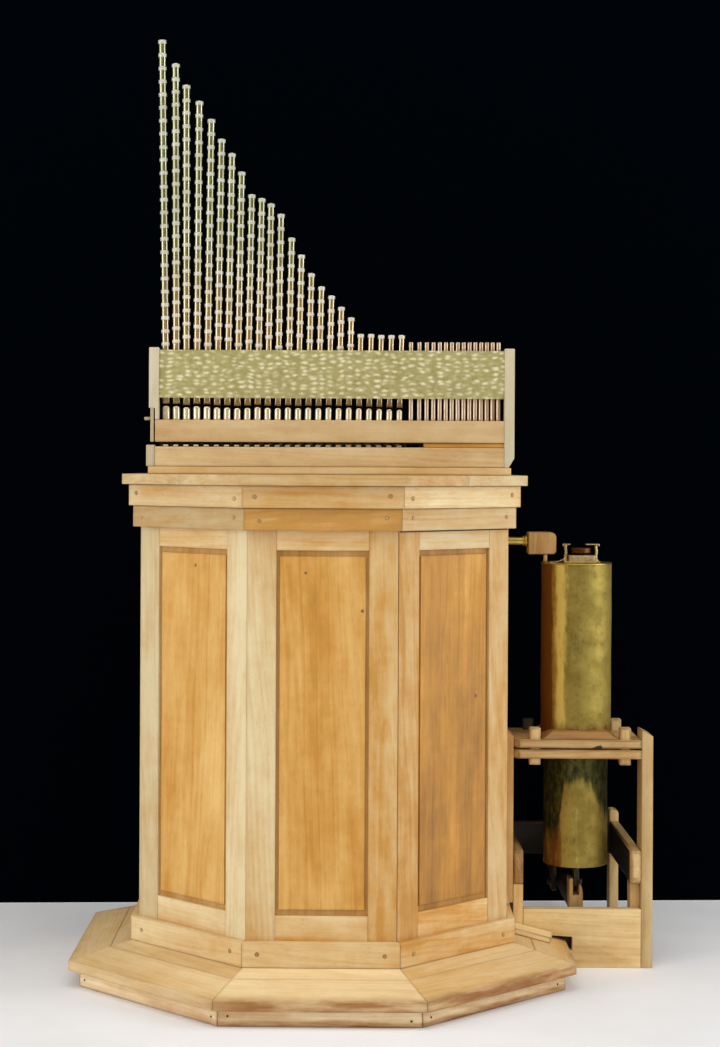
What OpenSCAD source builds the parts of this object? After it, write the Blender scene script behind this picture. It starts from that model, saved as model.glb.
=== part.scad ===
// Water organ: an eight-sided cabinet on a stepped base, a wind chest with two
// kinds of pipes, and a lever pump on a stand at its right-hand side.
// Millimetres, +Z up, front towards -Y. The origin is the middle of the cabinet
// at floor level.

/* [Cabinet] */
// Distance across the cabinet between its left and right faces
cabinet_w = 780; // [740:2:820]
// Width of the front and back faces
front_face_w = 305; // [290:1:320]
// Width of the left and right faces
side_face_w = 330; // [315:1:345]
// Height of the cabinet's walls above the floor
cabinet_top = 1055; // [900:5:1200]
// Thickness of the wall frames
wall_t = 22; // [16:1:30]
// Width of the upright and level members of a wall frame that show
stile_w = 59; // [45:1:75]
// Height of the lower edge of the panels above the floor
panel_low = 190; // [160:5:240]
// Distance of the upper edge of the panels below the top of the walls
panel_top_gap = 130; // [110:5:200]
// Thickness of a wall panel
panel_t = 8; // [5:1:10]
// Distance of a panel's border behind the frame's face
panel_recess = 6; // [5:1:9]
// Height of a panel's raised field above its border
field_rise = 3.5; // [1.5:0.5:4]
// Width of a panel's border that shows at its sides
field_side = 7; // [4:1:14]
// Width of a panel's border that shows at its top and bottom
field_end = 12; // [6:1:30]
// Depth of the groove that holds a panel
groove_d = 8; // [4:1:12]

/* [Base] */
// Height of the riser under the step at its outer face
riser_h = 35; // [20:1:60]
// Distance of the riser's face outside the cabinet's face
riser_out = 120; // [90:1:135]
// Thickness of the riser boards
riser_t = 25; // [15:1:40]
// Distance of the step's edge outside the cabinet's face
tread_out = 142; // [138:1:180]
// Thickness of the step's boards at their edge
tread_t = 22; // [14:1:30]
// Rise of the step from its edge to the cabinet's face
tread_rise = 36; // [20:1:60]
// Distance of the joint between the step's two rings outside the cabinet
tread_joint = 58; // [40:1:80]
// Thickness of the floor board inside the riser
floor_t = 18; // [12:1:30]
// Thickness of the skirting
skirting_t = 17; // [10:1:25]
// Height of the skirting
skirting_h = 52; // [35:1:70]

/* [Cornice] */
// Height of each of the two boards below the slab
band_h = 45; // [30:1:60]
// Thickness of the lower board
band_lower_t = 16; // [8:1:20]
// Thickness of the upper board
band_upper_t = 25; // [21:1:35]
// Thickness of the slab
slab_t = 22; // [15:1:35]
// Distance of the slab's edge outside the cabinet's face
slab_out = 39; // [36:1:60]

/* [Wind chest] */
// Width of the wind chest
chest_w = 735; // [720:1:750]
// Depth of the wind chest from front to back
chest_d = 250; // [220:5:300]
// Distance of the wind chest's front in front of the cabinet's middle
chest_front = 205; // [195:1:215]
// Distance of the wind chest's middle to the right of the cabinet's middle
chest_shift = 10; // [0:1:15]
// Thickness of the sole board
sole_t = 16; // [12:1:24]
// Distance of the sole board's edge outside the wind chest at its ends
sole_over = 14; // [10:1:20]
// Distance of the sole board's edge in front of the wind chest
sole_lip = 5; // [2:1:8]
// Height of the lower box of the wind chest
trunk_h = 42; // [30:1:60]
// Thickness of the lower box's walls
trunk_wall = 20; // [12:1:25]
// Height of the slot that the sliders pass through
slot_h = 9.5; // [8:0.5:14]
// Height of the board that carries the pipes
pipe_board_h = 47; // [30:1:60]
// Width of a slider
slider_w = 11; // [8:0.5:12]
// Thickness of a slider
slider_t = 6; // [4:0.5:7]
// Width of a strip that guides the sliders
guide_w = 6; // [4:0.5:8]
// Distance of the guides behind the front of the wind chest
guide_inset = 25; // [15:1:40]
// Distance that a slider's end lies behind the front of the wind chest
slider_inset = 5; // [2:1:10]
// Distance between the last slider's place and the strip at the end of the slot
closer_gap = 30; // [10:1:40]
// Distance of the strip at the end of the slot behind the front
closer_inset = 4; // [2:1:8]

/* [Front frame] */
// Width of an end post
post_w = 21; // [16:1:26]
// Depth of an end post
post_d = 24; // [20:1:30]
// Height of the end posts' tops above the pipe board
post_h = 152; // [120:1:200]
// Distance that the left end post stands out beyond the wind chest
post_over = 13; // [11:0.5:16]
// Width of the cut at the right end post's foot
foot_cut_w = 12; // [6:1:16]
// Height of the cut at the right end post's foot
foot_cut_h = 20; // [10:1:30]
// Width of the stop lever at the left end
stop_w = 10.5; // [8:0.5:12]
// Depth of the stop lever from front to back
stop_d = 20; // [14:1:24]
// Height of the stop lever's end above the pipe board
stop_rise = 24; // [16:1:40]
// Diameter of the stop lever's peg
stop_peg_d = 7; // [5:0.5:9]
// Length of the stop lever's peg outside the lever
stop_peg_l = 10; // [6:1:16]
// Height of the stop lever's peg above the pipe board
stop_peg_up = 2; // [0:0.5:8]
// Width of the block below the stop lever
block_w = 19; // [14:0.5:22]
// Depth of the block below the stop lever
block_d = 26; // [18:1:32]
// Distance of the block behind the front of the wind chest
block_inset = 2; // [0:0.5:5]
// Height of the brass front plate
plate_h = 101; // [80:1:130]
// Thickness of the brass front plate
plate_t = 1.5; // [1:0.1:3]
// Distance of the plate's lower edge above the pipe board
plate_gap = 46; // [40:1:60]
// Distance of the plate's face behind the front of the wind chest
plate_inset = 4; // [2:0.5:8]

/* [Pipes] */
// Distance between two wide pipes
pipe_pitch = 21.4; // [20.8:0.1:22]
// Distance of the first wide pipe from the wind chest's left end
pipe_start = 22; // [18:1:26]
// Distance of the row of pipes behind the front of the wind chest
row_inset = 23; // [19:0.5:30]
// Diameter of the longest wide pipe
pipe_d_first = 15.4; // [13:0.1:15.8]
// Diameter of the shortest wide pipe
pipe_d_last = 11.8; // [9:0.1:13]
// Thickness of a pipe's wall
pipe_wall = 1.2; // [0.8:0.1:2]
// Height of the mouth above the pipe board
mouth_z = 27; // [18:1:32]
// Height of the mouth's slit
mouth_h = 6.5; // [4:0.5:9]
// Height of the flattened lip above the mouth
lip_h = 15; // [10:1:20]
// Depth of the mouth's cut as a share of the pipe's radius
mouth_cut = 0.25; // [0.15:0.01:0.4]
// Depth of the lip's flat at its foot as a share of the pipe's radius
lip_cut = 0.38; // [0.2:0.01:0.5]
// Slope of the lip, in degrees
lip_slope = 8; // [4:1:12]
// Thickness of the metal that closes a pipe
plug_t = 2; // [1:0.5:4]
// Height of a ring round a wide pipe
band_ring_h = 8.4; // [5:0.2:11]
// Distance that a ring stands out from its pipe
band_ring_t = 1.1; // [0.6:0.1:1.4]
// Distance between two rings on a pipe
band_pitch = 27.8; // [20:0.1:40]
// Diameter of a thin pipe
thin_d = 9.6; // [7:0.1:10]
// Height of the thin pipes above the pipe board
thin_h = 166; // [120:1:220]
// Distance of the first thin pipe from the last wide pipe
thin_start = 24.5; // [20:0.5:30]
// Distance between two thin pipes far along their row
thin_pitch = 12.2; // [11:0.1:14]
// Extra length of the row, most of it between the first pipes
thin_spread = 13.7; // [0:0.1:20]
// Least distance of the last thin pipe from the right end post
thin_clear = 5; // [3:0.5:7]

/* [Keys] */
// Length of a key from its pivot to its end
key_l = 105; // [80:1:130]
// Distance of the keys behind the wind chest
key_gap = 20; // [12:1:30]
// Width of a key
key_w = 15; // [10:0.5:17]
// Thickness of a key
key_t = 9; // [7:0.5:12]
// Height of a key's pivot above the slab
key_pivot_z = 92; // [85:1:110]
// Diameter of the rod that the keys turn on
key_rod_d = 6; // [4:0.5:7]
// Thickness of a cheek at the ends of the rod
cheek_t = 12; // [8:0.5:12]
// Height of the cheeks above the rod
cheek_rise = 14; // [8:1:24]
// Distance of the cheeks' back edges in front of the keys' ends
cheek_short = 5; // [0:1:15]

/* [Pump] */
// Distance of the pump's axis to the right of the cabinet's face
pump_off = 171.5; // [169:0.5:174]
// Distance of the pump's axis behind the cabinet's middle
pump_y = 75; // [70:1:80]
// Outer diameter of the cylinder above the platform
barrel_upper_d = 158; // [150:1:164]
// Outer diameter of the cylinder below the platform
barrel_lower_d = 144; // [130:1:148]
// Thickness of the cylinder's wall
barrel_wall = 2; // [1.2:0.1:4]
// Height of the cylinder's lower end above the floor
barrel_low = 200; // [190:1:230]
// Height of the cylinder's upper end above the floor
barrel_high = 880; // [800:1:884]
// Distance that the rolled rim at the lower end stands out
rim_t = 1.5; // [0.5:0.1:3]
// Height of the rolled rim
rim_h = 5; // [3:0.5:8]
// Thickness of the lid
lid_t = 3; // [2:0.5:6]
// Diameter of the air pipes
air_pipe_d = 18; // [12:0.5:22]
// Diameter of the short tube from the lid to the elbow block
outlet_d = 9; // [6:0.5:14]
// Thickness of the air pipes' walls
air_wall = 1.5; // [1:0.1:2.5]
// Distance that the air pipe reaches into the cabinet behind the wall
air_reach = 10; // [5:1:20]
// Width of the elbow block
elbow_w = 62; // [50:1:70]
// Height of the elbow block
elbow_h = 49; // [40:1:56]
// Depth of the elbow block
elbow_d = 50; // [40:1:60]
// Distance of the elbow block's lower face above the lid
elbow_gap = 18; // [10:1:30]
// Distance of the elbow block to the right of the cabinet's face
elbow_off = 62; // [58:1:70]
// Radius of the elbow block's round edges
elbow_round = 12; // [4:1:16]
// Height of the air pipe's axis above the elbow block's underside
air_up = 29; // [20:1:32]
// Distance of the short tube from the elbow block's left end
outlet_in = 40; // [36:1:46]

/* [Inlet valve] */
// Distance of the valve to the right of the pump's axis
valve_off = 10; // [5:1:15]
// Width of the valve's base plate
valve_plate_w = 76; // [70:1:84]
// Depth of the valve's base plate
valve_plate_d = 60; // [50:1:70]
// Thickness of the valve's base plate and top plates
valve_plate_t = 2.5; // [1:0.5:4]
// Width of the valve's box
valve_box_w = 57; // [50:1:60]
// Depth of the valve's box
valve_box_d = 50; // [40:1:56]
// Height of the valve's box
valve_box_h = 13; // [8:1:18]
// Height of the twisted uprights above the base plate
upright_h = 36; // [28:1:45]
// Width of an upright
upright_w = 6; // [4:0.5:8]
// Depth of an upright
upright_d = 12; // [8:0.5:16]
// Distance of an upright's middle from the valve's middle
upright_off = 34; // [33:0.5:36]
// Width of a top plate
top_plate_w = 26; // [20:1:28]
// Depth of a top plate
top_plate_d = 16; // [12:1:22]
// Distance of a top plate's inner end from the valve's middle
top_plate_in = 14; // [8:1:16]
// Diameter of the valve's weight
weight_d = 46; // [36:1:48]
// Height of the valve's weight
weight_h = 12; // [8:1:13]
// Diameter of the stem that carries the weight
stem_d = 10; // [6:0.5:14]
// Height of the weight's underside above the box
stem_h = 5; // [3:0.5:8]

/* [Pump stand] */
// Distance between the two main posts of the stand
stand_inner_w = 280; // [275:1:300]
// Thickness of the main posts
main_post_t = 25; // [18:1:30]
// Depth of the main posts from front to back
main_post_d = 70; // [50:1:90]
// Height of the main posts' tops above the platform
main_post_rise = 23; // [10:1:60]
// Height of the bevel on top of a main post
post_bevel = 14; // [4:1:20]
// Distance of the stand's front in front of the cabinet's middle
stand_front = 27; // [20:1:35]
// Depth of the stand from front to back
stand_d = 370; // [350:5:400]
// Height of the underside of the platform above the floor
platform_z = 457; // [440:1:470]
// Thickness of the platform's lower plank
plank_lower_t = 19; // [14:1:24]
// Gap between the platform's planks
plank_gap = 4; // [1:0.5:6]
// Thickness of the platform's upper plank
plank_upper_t = 18; // [14:1:24]
// Depth of the platform from front to back
platform_d = 204; // [190:1:220]
// Width of the collar round the cylinder at its foot
collar_w = 171; // [166:1:176]
// Height of the collar
collar_h = 19; // [14:1:24]
// Width of the collar's bevel on its left and right
collar_bevel = 26; // [18:1:30]
// Distance of the collar from the platform's front and back edges
collar_edge = 2; // [1:0.5:6]
// Size of a peg through the platform
peg_w = 25; // [16:1:30]
// Distance of a peg's middle from the platform's front or back edge
peg_edge = 22; // [18:1:30]
// Gap between the collar and the pegs
peg_gap = 1; // [0.5:0.1:3]
// Height of the pegs above the platform
peg_rise = 27; // [15:1:35]
// Distance that the pegs reach below the platform
peg_drop = 15; // [8:1:25]
// Size of the cut at the platform's front left corner
plank_cut = 12; // [6:1:18]
// Height of the side beams' undersides above the floor
beam_z = 182; // [175:1:200]
// Height of a side beam
beam_h = 75; // [50:1:90]
// Thickness of the side beams and the short posts
beam_t = 22; // [16:1:26]
// Depth of a short post from front to back
short_post_d = 40; // [25:1:50]
// Height of the tops of the short posts above the side beams
short_post_rise = 26; // [10:1:40]
// Height of the sill board in front
sill_h = 129; // [100:1:150]
// Thickness of the sill board
sill_t = 22; // [16:1:28]
// Length of the batten on the step
batten_l = 82; // [70:1:95]
// Width of the batten on the step
batten_w = 63; // [50:1:75]
// Thickness of the batten on the step
batten_t = 13; // [8:1:18]
// Distance of the batten from the skirting
batten_off = 4; // [1:0.5:8]

/* [Pump lever] */
// Distance of the lever's axle behind the pump's axis
arm_l = 215; // [205:1:230]
// Height of the lever's axle above the floor
axle_z = 125; // [122:1:130]
// Length of the lever behind its axle
handle_l = 320; // [250:5:325]
// Width of the lever
lever_w = 31; // [24:1:36]
// Height of the lever's bar
lever_h = 36; // [28:1:40]
// Diameter of the axle
axle_d = 16; // [10:0.5:18]
// Height of the fork's tall prong above the axle
fork_h = 55; // [50:1:60]
// Width of the slot in the fork
fork_slot_w = 13; // [11:0.5:15]
// Length of the fork from front to back
fork_l = 45; // [36:1:50]
// Distance of the fork's front end in front of the pump's axis
fork_front = 25; // [18:1:30]
// Distance of the low prong's tip below the tall prong's top
fork_tip = 8; // [6:1:12]
// Distance of the low prong's shoulder below the tall prong's top
fork_shoulder = 20; // [15:1:24]
// Distance of the low prong's root below the tall prong's top
fork_root = 34; // [28:1:36]
// Distance of the low prong's shoulder inside the lever's side
fork_taper = 4; // [2:0.5:6]
// Distance of an axle bracket's edges from the axle's middle
bracket_edge = 20; // [14:1:24]
// Thickness of an axle bracket
bracket_t = 12; // [8:1:16]
// Gap between the lever and an axle bracket
bracket_gap = 5; // [5:0.5:10]
// Distance that the axle stands out from a bracket
axle_over = 8; // [3:1:14]
// Thickness of the piston
piston_h = 30; // [20:1:40]
// Height of the piston's underside above the cylinder's lower end
piston_rest = 36; // [34:1:60]
// Diameter of the piston's rod
rod_d = 14; // [10:1:20]
// Distance of the rod's lower end above the fork
rod_gap = 12; // [10:1:16]
// Depth of the piston's eye from front to back
eye_w = 30; // [20:1:34]
// Distance of the eye's lower end above the bottom of the fork's slot
eye_up = 18; // [17:1:22]
// Gap between the eye and each side of the fork's slot
eye_gap = 3; // [3:0.1:4]

/* [Fits] */
// Gap between the piston and the cylinder, all round
piston_fit = 0.3; // [0.2:0.05:0.6]
// Gap between a wooden piece and a hole or notch for it
wood_fit = 0.3; // [0.1:0.05:0.6]
// Gap between the lever and its axle, all round
axle_fit = 0.08; // [0.02:0.01:0.1]
// Gap between a rod and a hole that it is fixed in, all round
rod_fit = 0.05; // [0.02:0.01:0.1]

/* [Hidden] */
$fn = 48;
eps = 0.5;

// Sounding lengths of the wide pipes above the pipe board, longest first
PIPE_LENGTHS = [803, 753, 708, 674, 636, 594, 564, 525, 477, 469, 458, 436,
                386, 350, 311, 283, 264, 240, 218, 183, 183, 181, 181, 181];
// Lean of each wide pipe to the right, in degrees, as the pipes stand
PIPE_LEANS = [-0.9, -0.4, -0.3, 0.2, 0.6, 0.7, 0.8, 0.8, 0.9, 0.9, 0.7, 0.7,
              1.0, 1.0, 1.1, 1.2, 1.3, 1.3, 1.3, 1.2, 1.4, 1.4, 1.4, 1.5];

pipe_count = len(PIPE_LENGTHS);
half_w = cabinet_w / 2;
half_front = front_face_w / 2;
half_side = side_face_w / 2;

// The corner faces run from one end of the front face to one end of the side face
corner_dx = half_w - half_front;
corner_dy = half_w - half_side;
corner_len = sqrt(corner_dx * corner_dx + corner_dy * corner_dy);
corner_nx = corner_dy / corner_len;
corner_ny = corner_dx / corner_len;
corner_angle = atan2(corner_dy, corner_dx);

// Growth of the half faces for each millimetre that the outline moves out
front_grow = (1 - corner_ny) / corner_nx;
side_grow = (1 - corner_nx) / corner_ny;

tread_low = riser_h;
tread_edge = tread_low + tread_t;
tread_top = tread_edge + tread_rise;
slope = tread_rise / tread_out;
skirting_z = tread_edge + slope * (tread_out - skirting_t);
slope_angle = atan(slope);

panel_high = cabinet_top - panel_top_gap;
band_upper_z = cabinet_top - band_h;
band_lower_z = band_upper_z - band_h;
slab_z = cabinet_top;
slab_top = slab_z + slab_t;

trunk_z = slab_top + sole_t;
slot_z = trunk_z + trunk_h;
board_z = slot_z + slot_h;
pipe_z = board_z + pipe_board_h;
chest_l = chest_shift - chest_w / 2;
chest_r = chest_shift + chest_w / 2;
chest_y = -chest_front;
row_y = chest_y + row_inset;
pipe_x0 = chest_l + pipe_start;
key_y = chest_y + chest_d + key_gap;
sole_back = chest_d + key_gap + key_l;
stand_l = half_w + main_post_t;
stand_r = stand_l + stand_inner_w;
stand_y = -stand_front;
stand_back = stand_y + stand_d;
platform_top = platform_z + plank_lower_t + plank_gap + plank_upper_t;
main_post_top = platform_top + main_post_rise;
pump_x = half_w + pump_off;
lid_z = barrel_high;
lid_top = lid_z + lid_t;
elbow_z = lid_top + elbow_gap;
elbow_x = half_w + elbow_off;
air_z = elbow_z + air_up;
outlet_x = elbow_x + outlet_in;
axle_y = pump_y + arm_l;
bore_d = barrel_lower_d - 2 * barrel_wall;

// Corner points of the cabinet's outline moved out by a distance
function outline(out) =
    let (w = half_w + out, f = half_front + out * front_grow, s = half_side + out * side_grow)
    [[-f, -w], [f, -w], [w, -s], [w, s], [f, w], [-f, w], [-w, s], [-w, -s]];

function face_angle(k) =
    [0, corner_angle, 90, 180 - corner_angle, 180, 180 + corner_angle, 270, 360 - corner_angle][k];

function face_middle(k) =
    let (p = outline(0)) (p[k] + p[(k + 1) % 8]) / 2;

function face_width(k) =
    let (p = outline(0)) norm(p[(k + 1) % 8] - p[k]);

// A solid inside one of the outline's distances, from one height to another
module octagon_plate(out, z, h) {
    translate([0, 0, z])
        linear_extrude(h)
            polygon(outline(out));
}

module octagon_ring(outer, inner, z, h) {
    difference() {
        octagon_plate(outer, z, h);
        octagon_plate(inner, z - eps, h + 2 * eps);
    }
}

// A place on one face: x runs along the face and y points into the cabinet
module on_face(k) {
    translate([face_middle(k)[0], face_middle(k)[1], 0])
        rotate(face_angle(k))
            children();
}

function step_top(out) = tread_edge + slope * (tread_out - out);

// A ring round the cabinet: its profile is [distance outside, height] points, in the
// order that goes out along the bottom and back in along the top
module profile_ring(profile) {
    n = len(profile);
    polyhedron(points = [for (p = profile) for (q = outline(p[0])) [q[0], q[1], p[1]]],
               faces = [for (j = [0:n - 1]) for (k = [0:7])
                        let (up = (j + 1) % n, side = (k + 1) % 8)
                        [8 * j + k, 8 * up + k, 8 * up + side, 8 * j + side]],
               convexity = 4);
}

// The base's outer shape, for cutting what stands on it or beside it
module base_form(grow) {
    foot = riser_out + grow;
    edge = tread_out + grow;
    profile_ring([[-wall_t, -1], [foot, -1], [foot, tread_low - grow], [edge, tread_low - grow],
                  [edge, tread_edge + grow], [0, tread_top + grow], [-wall_t, tread_top + grow]]);
}

module base_floor() {
    color("burlywood")
        octagon_plate(riser_out - riser_t - wood_fit, 0, floor_t);
}

module base_riser() {
    inner = riser_out - riser_t;
    color("burlywood")
        profile_ring([[inner, 0], [riser_out, 0], [riser_out, step_top(riser_out) - tread_t],
                      [inner, step_top(inner) - tread_t]]);
}

// One ring of the step, between two distances outside the cabinet's face
module step_ring(outer, inner) {
    profile_ring([[inner, step_top(inner) - tread_t], [outer, step_top(outer) - tread_t],
                  [outer, step_top(outer)], [inner, step_top(inner)]]);
}

module step_outer_ring() {
    color("wheat")
        step_ring(tread_out, tread_joint);
}

module step_inner_ring() {
    color("wheat")
        step_ring(tread_joint, 0);
}

module skirting() {
    high = skirting_z + skirting_h;
    color("burlywood")
        profile_ring([[0, step_top(0)], [skirting_t, step_top(skirting_t)], [skirting_t, high],
                      [0, high]]);
}

// One wall frame: two uprights and two level members with a groove for the panel
module wall_frame(k) {
    outer = outline(0);
    inner = outline(-wall_t);
    window_w = face_width(k) - 2 * stile_w;
    window_h = panel_high - panel_low;
    color("wheat")
        difference() {
            translate([0, 0, floor_t])
                linear_extrude(cabinet_top - floor_t)
                    polygon([outer[k], outer[(k + 1) % 8], inner[(k + 1) % 8], inner[k]]);
            on_face(k)
                translate([-window_w / 2, -eps, panel_low])
                    cube([window_w, wall_t + 2 * eps, window_h]);
            on_face(k)
                translate([-window_w / 2 - groove_d, panel_recess, panel_low - groove_d])
                    cube([window_w + 2 * groove_d, panel_t, window_h + 2 * groove_d]);
            air_hole();
        }
}

// The hole in the right wall for the air pipe
module air_hole() {
    translate([half_w - 3 * wall_t, pump_y, air_z])
        rotate([0, 90, 0])
            cylinder(d = air_pipe_d + 2 * wood_fit, h = 4 * wall_t);
}

// A wall's panel: a board in the frame's groove with a raised field on its face
module wall_panel(k) {
    edge = groove_d - 1;
    window_w = face_width(k) - 2 * stile_w;
    window_h = panel_high - panel_low;
    on_face(k) {
        translate([-window_w / 2 - edge, panel_recess, panel_low - edge])
            cube([window_w + 2 * edge, panel_t, window_h + 2 * edge]);
        translate([-window_w / 2 + field_side, panel_recess - field_rise, panel_low + field_end])
            cube([window_w - 2 * field_side, field_rise + panel_t / 2, window_h - 2 * field_end]);
    }
}

module wall_panels() {
    color("peru")
        difference() {
            for (k = [0:7])
                wall_panel(k);
            air_hole();
        }
}

module cornice_lower() {
    color("wheat")
        octagon_ring(band_lower_t, 0, band_lower_z, band_h);
}

module cornice_upper() {
    color("burlywood")
        octagon_ring(band_upper_t, 0, band_upper_z, band_h);
}

module top_slab() {
    color("wheat")
        octagon_plate(slab_out, slab_z, slab_t);
}

module sole_board() {
    color("burlywood")
        translate([chest_l - sole_over, chest_y - sole_lip, slab_top])
            cube([chest_w + 2 * sole_over, sole_back + sole_lip, sole_t]);
}

module wind_trunk() {
    color("wheat")
        translate([chest_l, chest_y, trunk_z])
            difference() {
                cube([chest_w, chest_d, trunk_h]);
                translate([trunk_wall, trunk_wall, -eps])
                    cube([chest_w - 2 * trunk_wall, chest_d - 2 * trunk_wall, trunk_h - trunk_wall]);
            }
}

function pipe_x(i) = pipe_x0 + i * pipe_pitch;

module slider_guides() {
    color("tan")
        for (i = [0:pipe_count])
            translate([pipe_x(i) - (pipe_pitch + guide_w) / 2, chest_y + guide_inset, slot_z])
                cube([guide_w, chest_d - guide_inset, slot_h]);
}

module note_sliders() {
    color("wheat")
        for (i = [0:pipe_count - 1])
            translate([pipe_x(i) - slider_w / 2, chest_y + slider_inset, slot_z])
                cube([slider_w, chest_d + 20 - slider_inset, slider_t]);
}

module slot_closer() {
    start = pipe_x(pipe_count) + closer_gap;
    color("peru")
        translate([start, chest_y + closer_inset, slot_z])
            cube([chest_r - start, chest_d - closer_inset, slot_h]);
}

module pipe_board() {
    color("burlywood")
        translate([chest_l, chest_y, board_z])
            cube([chest_w, chest_d, pipe_board_h]);
}

module end_post_left() {
    x = chest_l - post_over;
    color("wheat")
        difference() {
            translate([x, chest_y, pipe_z])
                cube([post_w, post_d, post_h]);
            translate([x - eps, chest_y - eps, pipe_z - eps])
                cube([post_over + eps, post_d + 2 * eps, stop_rise + eps]);
        }
}

module end_post_right() {
    high = pipe_z + post_h - trunk_z;
    color("wheat")
        translate([chest_r, chest_y + post_d, trunk_z])
            rotate([90, 0, 0])
                linear_extrude(post_d)
                    polygon([[0, 0], [post_w - foot_cut_w, 0], [post_w, foot_cut_h],
                             [post_w, high], [0, high]]);
}

module stop_lever() {
    x = chest_l - post_over;
    color("tan") {
        translate([x, chest_y, board_z])
            cube([stop_w, stop_d, pipe_board_h + stop_rise]);
        translate([x - stop_peg_l, chest_y + stop_d / 2, pipe_z + stop_peg_up])
            rotate([0, 90, 0])
                cylinder(d = stop_peg_d, h = stop_peg_l + stop_w / 2);
    }
}

module stop_block() {
    color("wheat")
        translate([chest_l - block_w, chest_y + block_inset, trunk_z])
            cube([block_w, block_d, trunk_h + slot_h - wood_fit]);
}

module front_plate() {
    left = chest_l - post_over + post_w;
    color("darkkhaki")
        translate([left, chest_y + plate_inset, pipe_z + plate_gap])
            cube([chest_r - left, plate_t, plate_h]);
}

function pipe_r(i) = (pipe_d_first + (pipe_d_last - pipe_d_first) * i / (pipe_count - 1)) / 2;

// A place on a pipe: leaning, with the lower side of its foot on the pipe board
module on_pipe(i) {
    translate([pipe_x(i), row_y, pipe_z + pipe_r(i) * sin(abs(PIPE_LEANS[i]))])
        rotate([0, PIPE_LEANS[i], 0])
            children();
}

// One wide pipe: a tube with a mouth, a flattened lip above it and a stopped foot
module wide_pipe(r, length) {
    difference() {
        cylinder(r = r, h = length);
        translate([0, 0, mouth_z])
            cylinder(r = r - pipe_wall, h = length);
        translate([0, 0, -eps])
            cylinder(r = r - pipe_wall, h = mouth_z - plug_t + eps);
        translate([-r, -r - 1, mouth_z])
            cube([2 * r, r * (1 - mouth_cut) + 1, mouth_h]);
        translate([-r, -r * (1 - lip_cut), mouth_z])
            rotate([-lip_slope, 0, 0])
                translate([0, -2 * r, 0])
                    cube([2 * r, 2 * r, lip_h]);
    }
}

module wide_pipes() {
    color("darkgoldenrod")
        for (i = [0:pipe_count - 1])
            on_pipe(i)
                wide_pipe(pipe_r(i), PIPE_LENGTHS[i]);
}

module pipe_ring(r) {
    half = band_ring_h / 2;
    rotate_extrude()
        polygon([[r, -half], [r + band_ring_t * 0.6, -half * 0.8], [r + band_ring_t, -half * 0.35],
                 [r + band_ring_t, half * 0.35], [r + band_ring_t * 0.6, half * 0.8], [r, half]]);
}

// Rings lie at even steps down from the pipe's open end, down to the front plate
module pipe_rings() {
    lowest = plate_gap + plate_h;
    color("silver")
        for (i = [0:pipe_count - 1]) {
            top = PIPE_LENGTHS[i] - band_ring_h / 2;
            on_pipe(i)
                for (z = [top:-band_pitch:lowest + band_ring_h / 2])
                    translate([0, 0, z])
                        pipe_ring(pipe_r(i) + 0.05);
        }
}

// Places of the thin pipes: their steps get closer along the row
function thin_x(i) =
    pipe_x(pipe_count - 1) + thin_start + thin_pitch * i + thin_spread * (1 - pow(0.6, i));

module thin_pipes() {
    last = chest_r - thin_clear - thin_d / 2;
    color("peru")
        for (i = [0:2 * pipe_count])
            if (thin_x(i) <= last)
                translate([thin_x(i), row_y, pipe_z])
                    difference() {
                        cylinder(d = thin_d, h = thin_h);
                        translate([0, 0, plug_t])
                            cylinder(d = thin_d - 2 * pipe_wall, h = thin_h);
                    }
}

// One key: a level touch piece and an arm down to its slider
module key_levers() {
    drop = slab_top + key_pivot_z - slot_z;
    color("tan")
        for (i = [0:pipe_count - 1])
            translate([pipe_x(i) - key_w / 2, key_y, slab_top + key_pivot_z])
                difference() {
                    union() {
                        translate([0, 0, -key_t / 2])
                            cube([key_w, key_l, key_t]);
                        translate([0, wood_fit, -drop])
                            cube([key_w, key_t, drop + key_t / 2]);
                    }
                    translate([-eps, key_t / 2, 0])
                        rotate([0, 90, 0])
                            cylinder(d = key_rod_d + 2 * rod_fit, h = key_w + 2 * eps);
                }
}

module key_rod() {
    color("silver")
        translate([chest_l, key_y + key_t / 2, slab_top + key_pivot_z])
            rotate([0, 90, 0])
                cylinder(d = key_rod_d, h = pipe_x(pipe_count) - chest_l);
}

module key_cheeks() {
    places = [chest_l, pipe_x(pipe_count) - cheek_t];
    color("burlywood")
        for (x = places)
            difference() {
                translate([x, chest_y + chest_d, trunk_z])
                    cube([cheek_t, key_gap + key_l - cheek_short,
                          slab_top + key_pivot_z + cheek_rise - trunk_z]);
                translate([x - eps, key_y + key_t / 2, slab_top + key_pivot_z])
                    rotate([0, 90, 0])
                        cylinder(d = key_rod_d + 2 * rod_fit, h = cheek_t + 2 * eps);
            }
}

module air_pipe() {
    start = half_w - wall_t - air_reach;
    color("darkkhaki")
        translate([start, pump_y, air_z])
            rotate([0, 90, 0])
                difference() {
                    cylinder(d = air_pipe_d, h = elbow_x - start);
                    translate([0, 0, -eps])
                        cylinder(d = air_pipe_d - 2 * air_wall, h = elbow_x - start + 2 * eps);
                }
}

module elbow_block() {
    color("peru")
        translate([elbow_x, pump_y + elbow_d / 2, elbow_z])
            rotate([90, 0, 0])
                linear_extrude(elbow_d)
                    union() {
                        square([elbow_w, elbow_h - elbow_round]);
                        square([elbow_w - elbow_round, elbow_h]);
                        translate([elbow_w - elbow_round, elbow_h - elbow_round])
                            circle(r = elbow_round);
                    }
}

module outlet_tube() {
    color("darkkhaki")
        translate([outlet_x, pump_y, lid_top])
            difference() {
                cylinder(d = outlet_d, h = elbow_gap);
                translate([0, 0, -eps])
                    cylinder(d = outlet_d - 2 * air_wall, h = elbow_gap + 2 * eps);
            }
}

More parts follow.
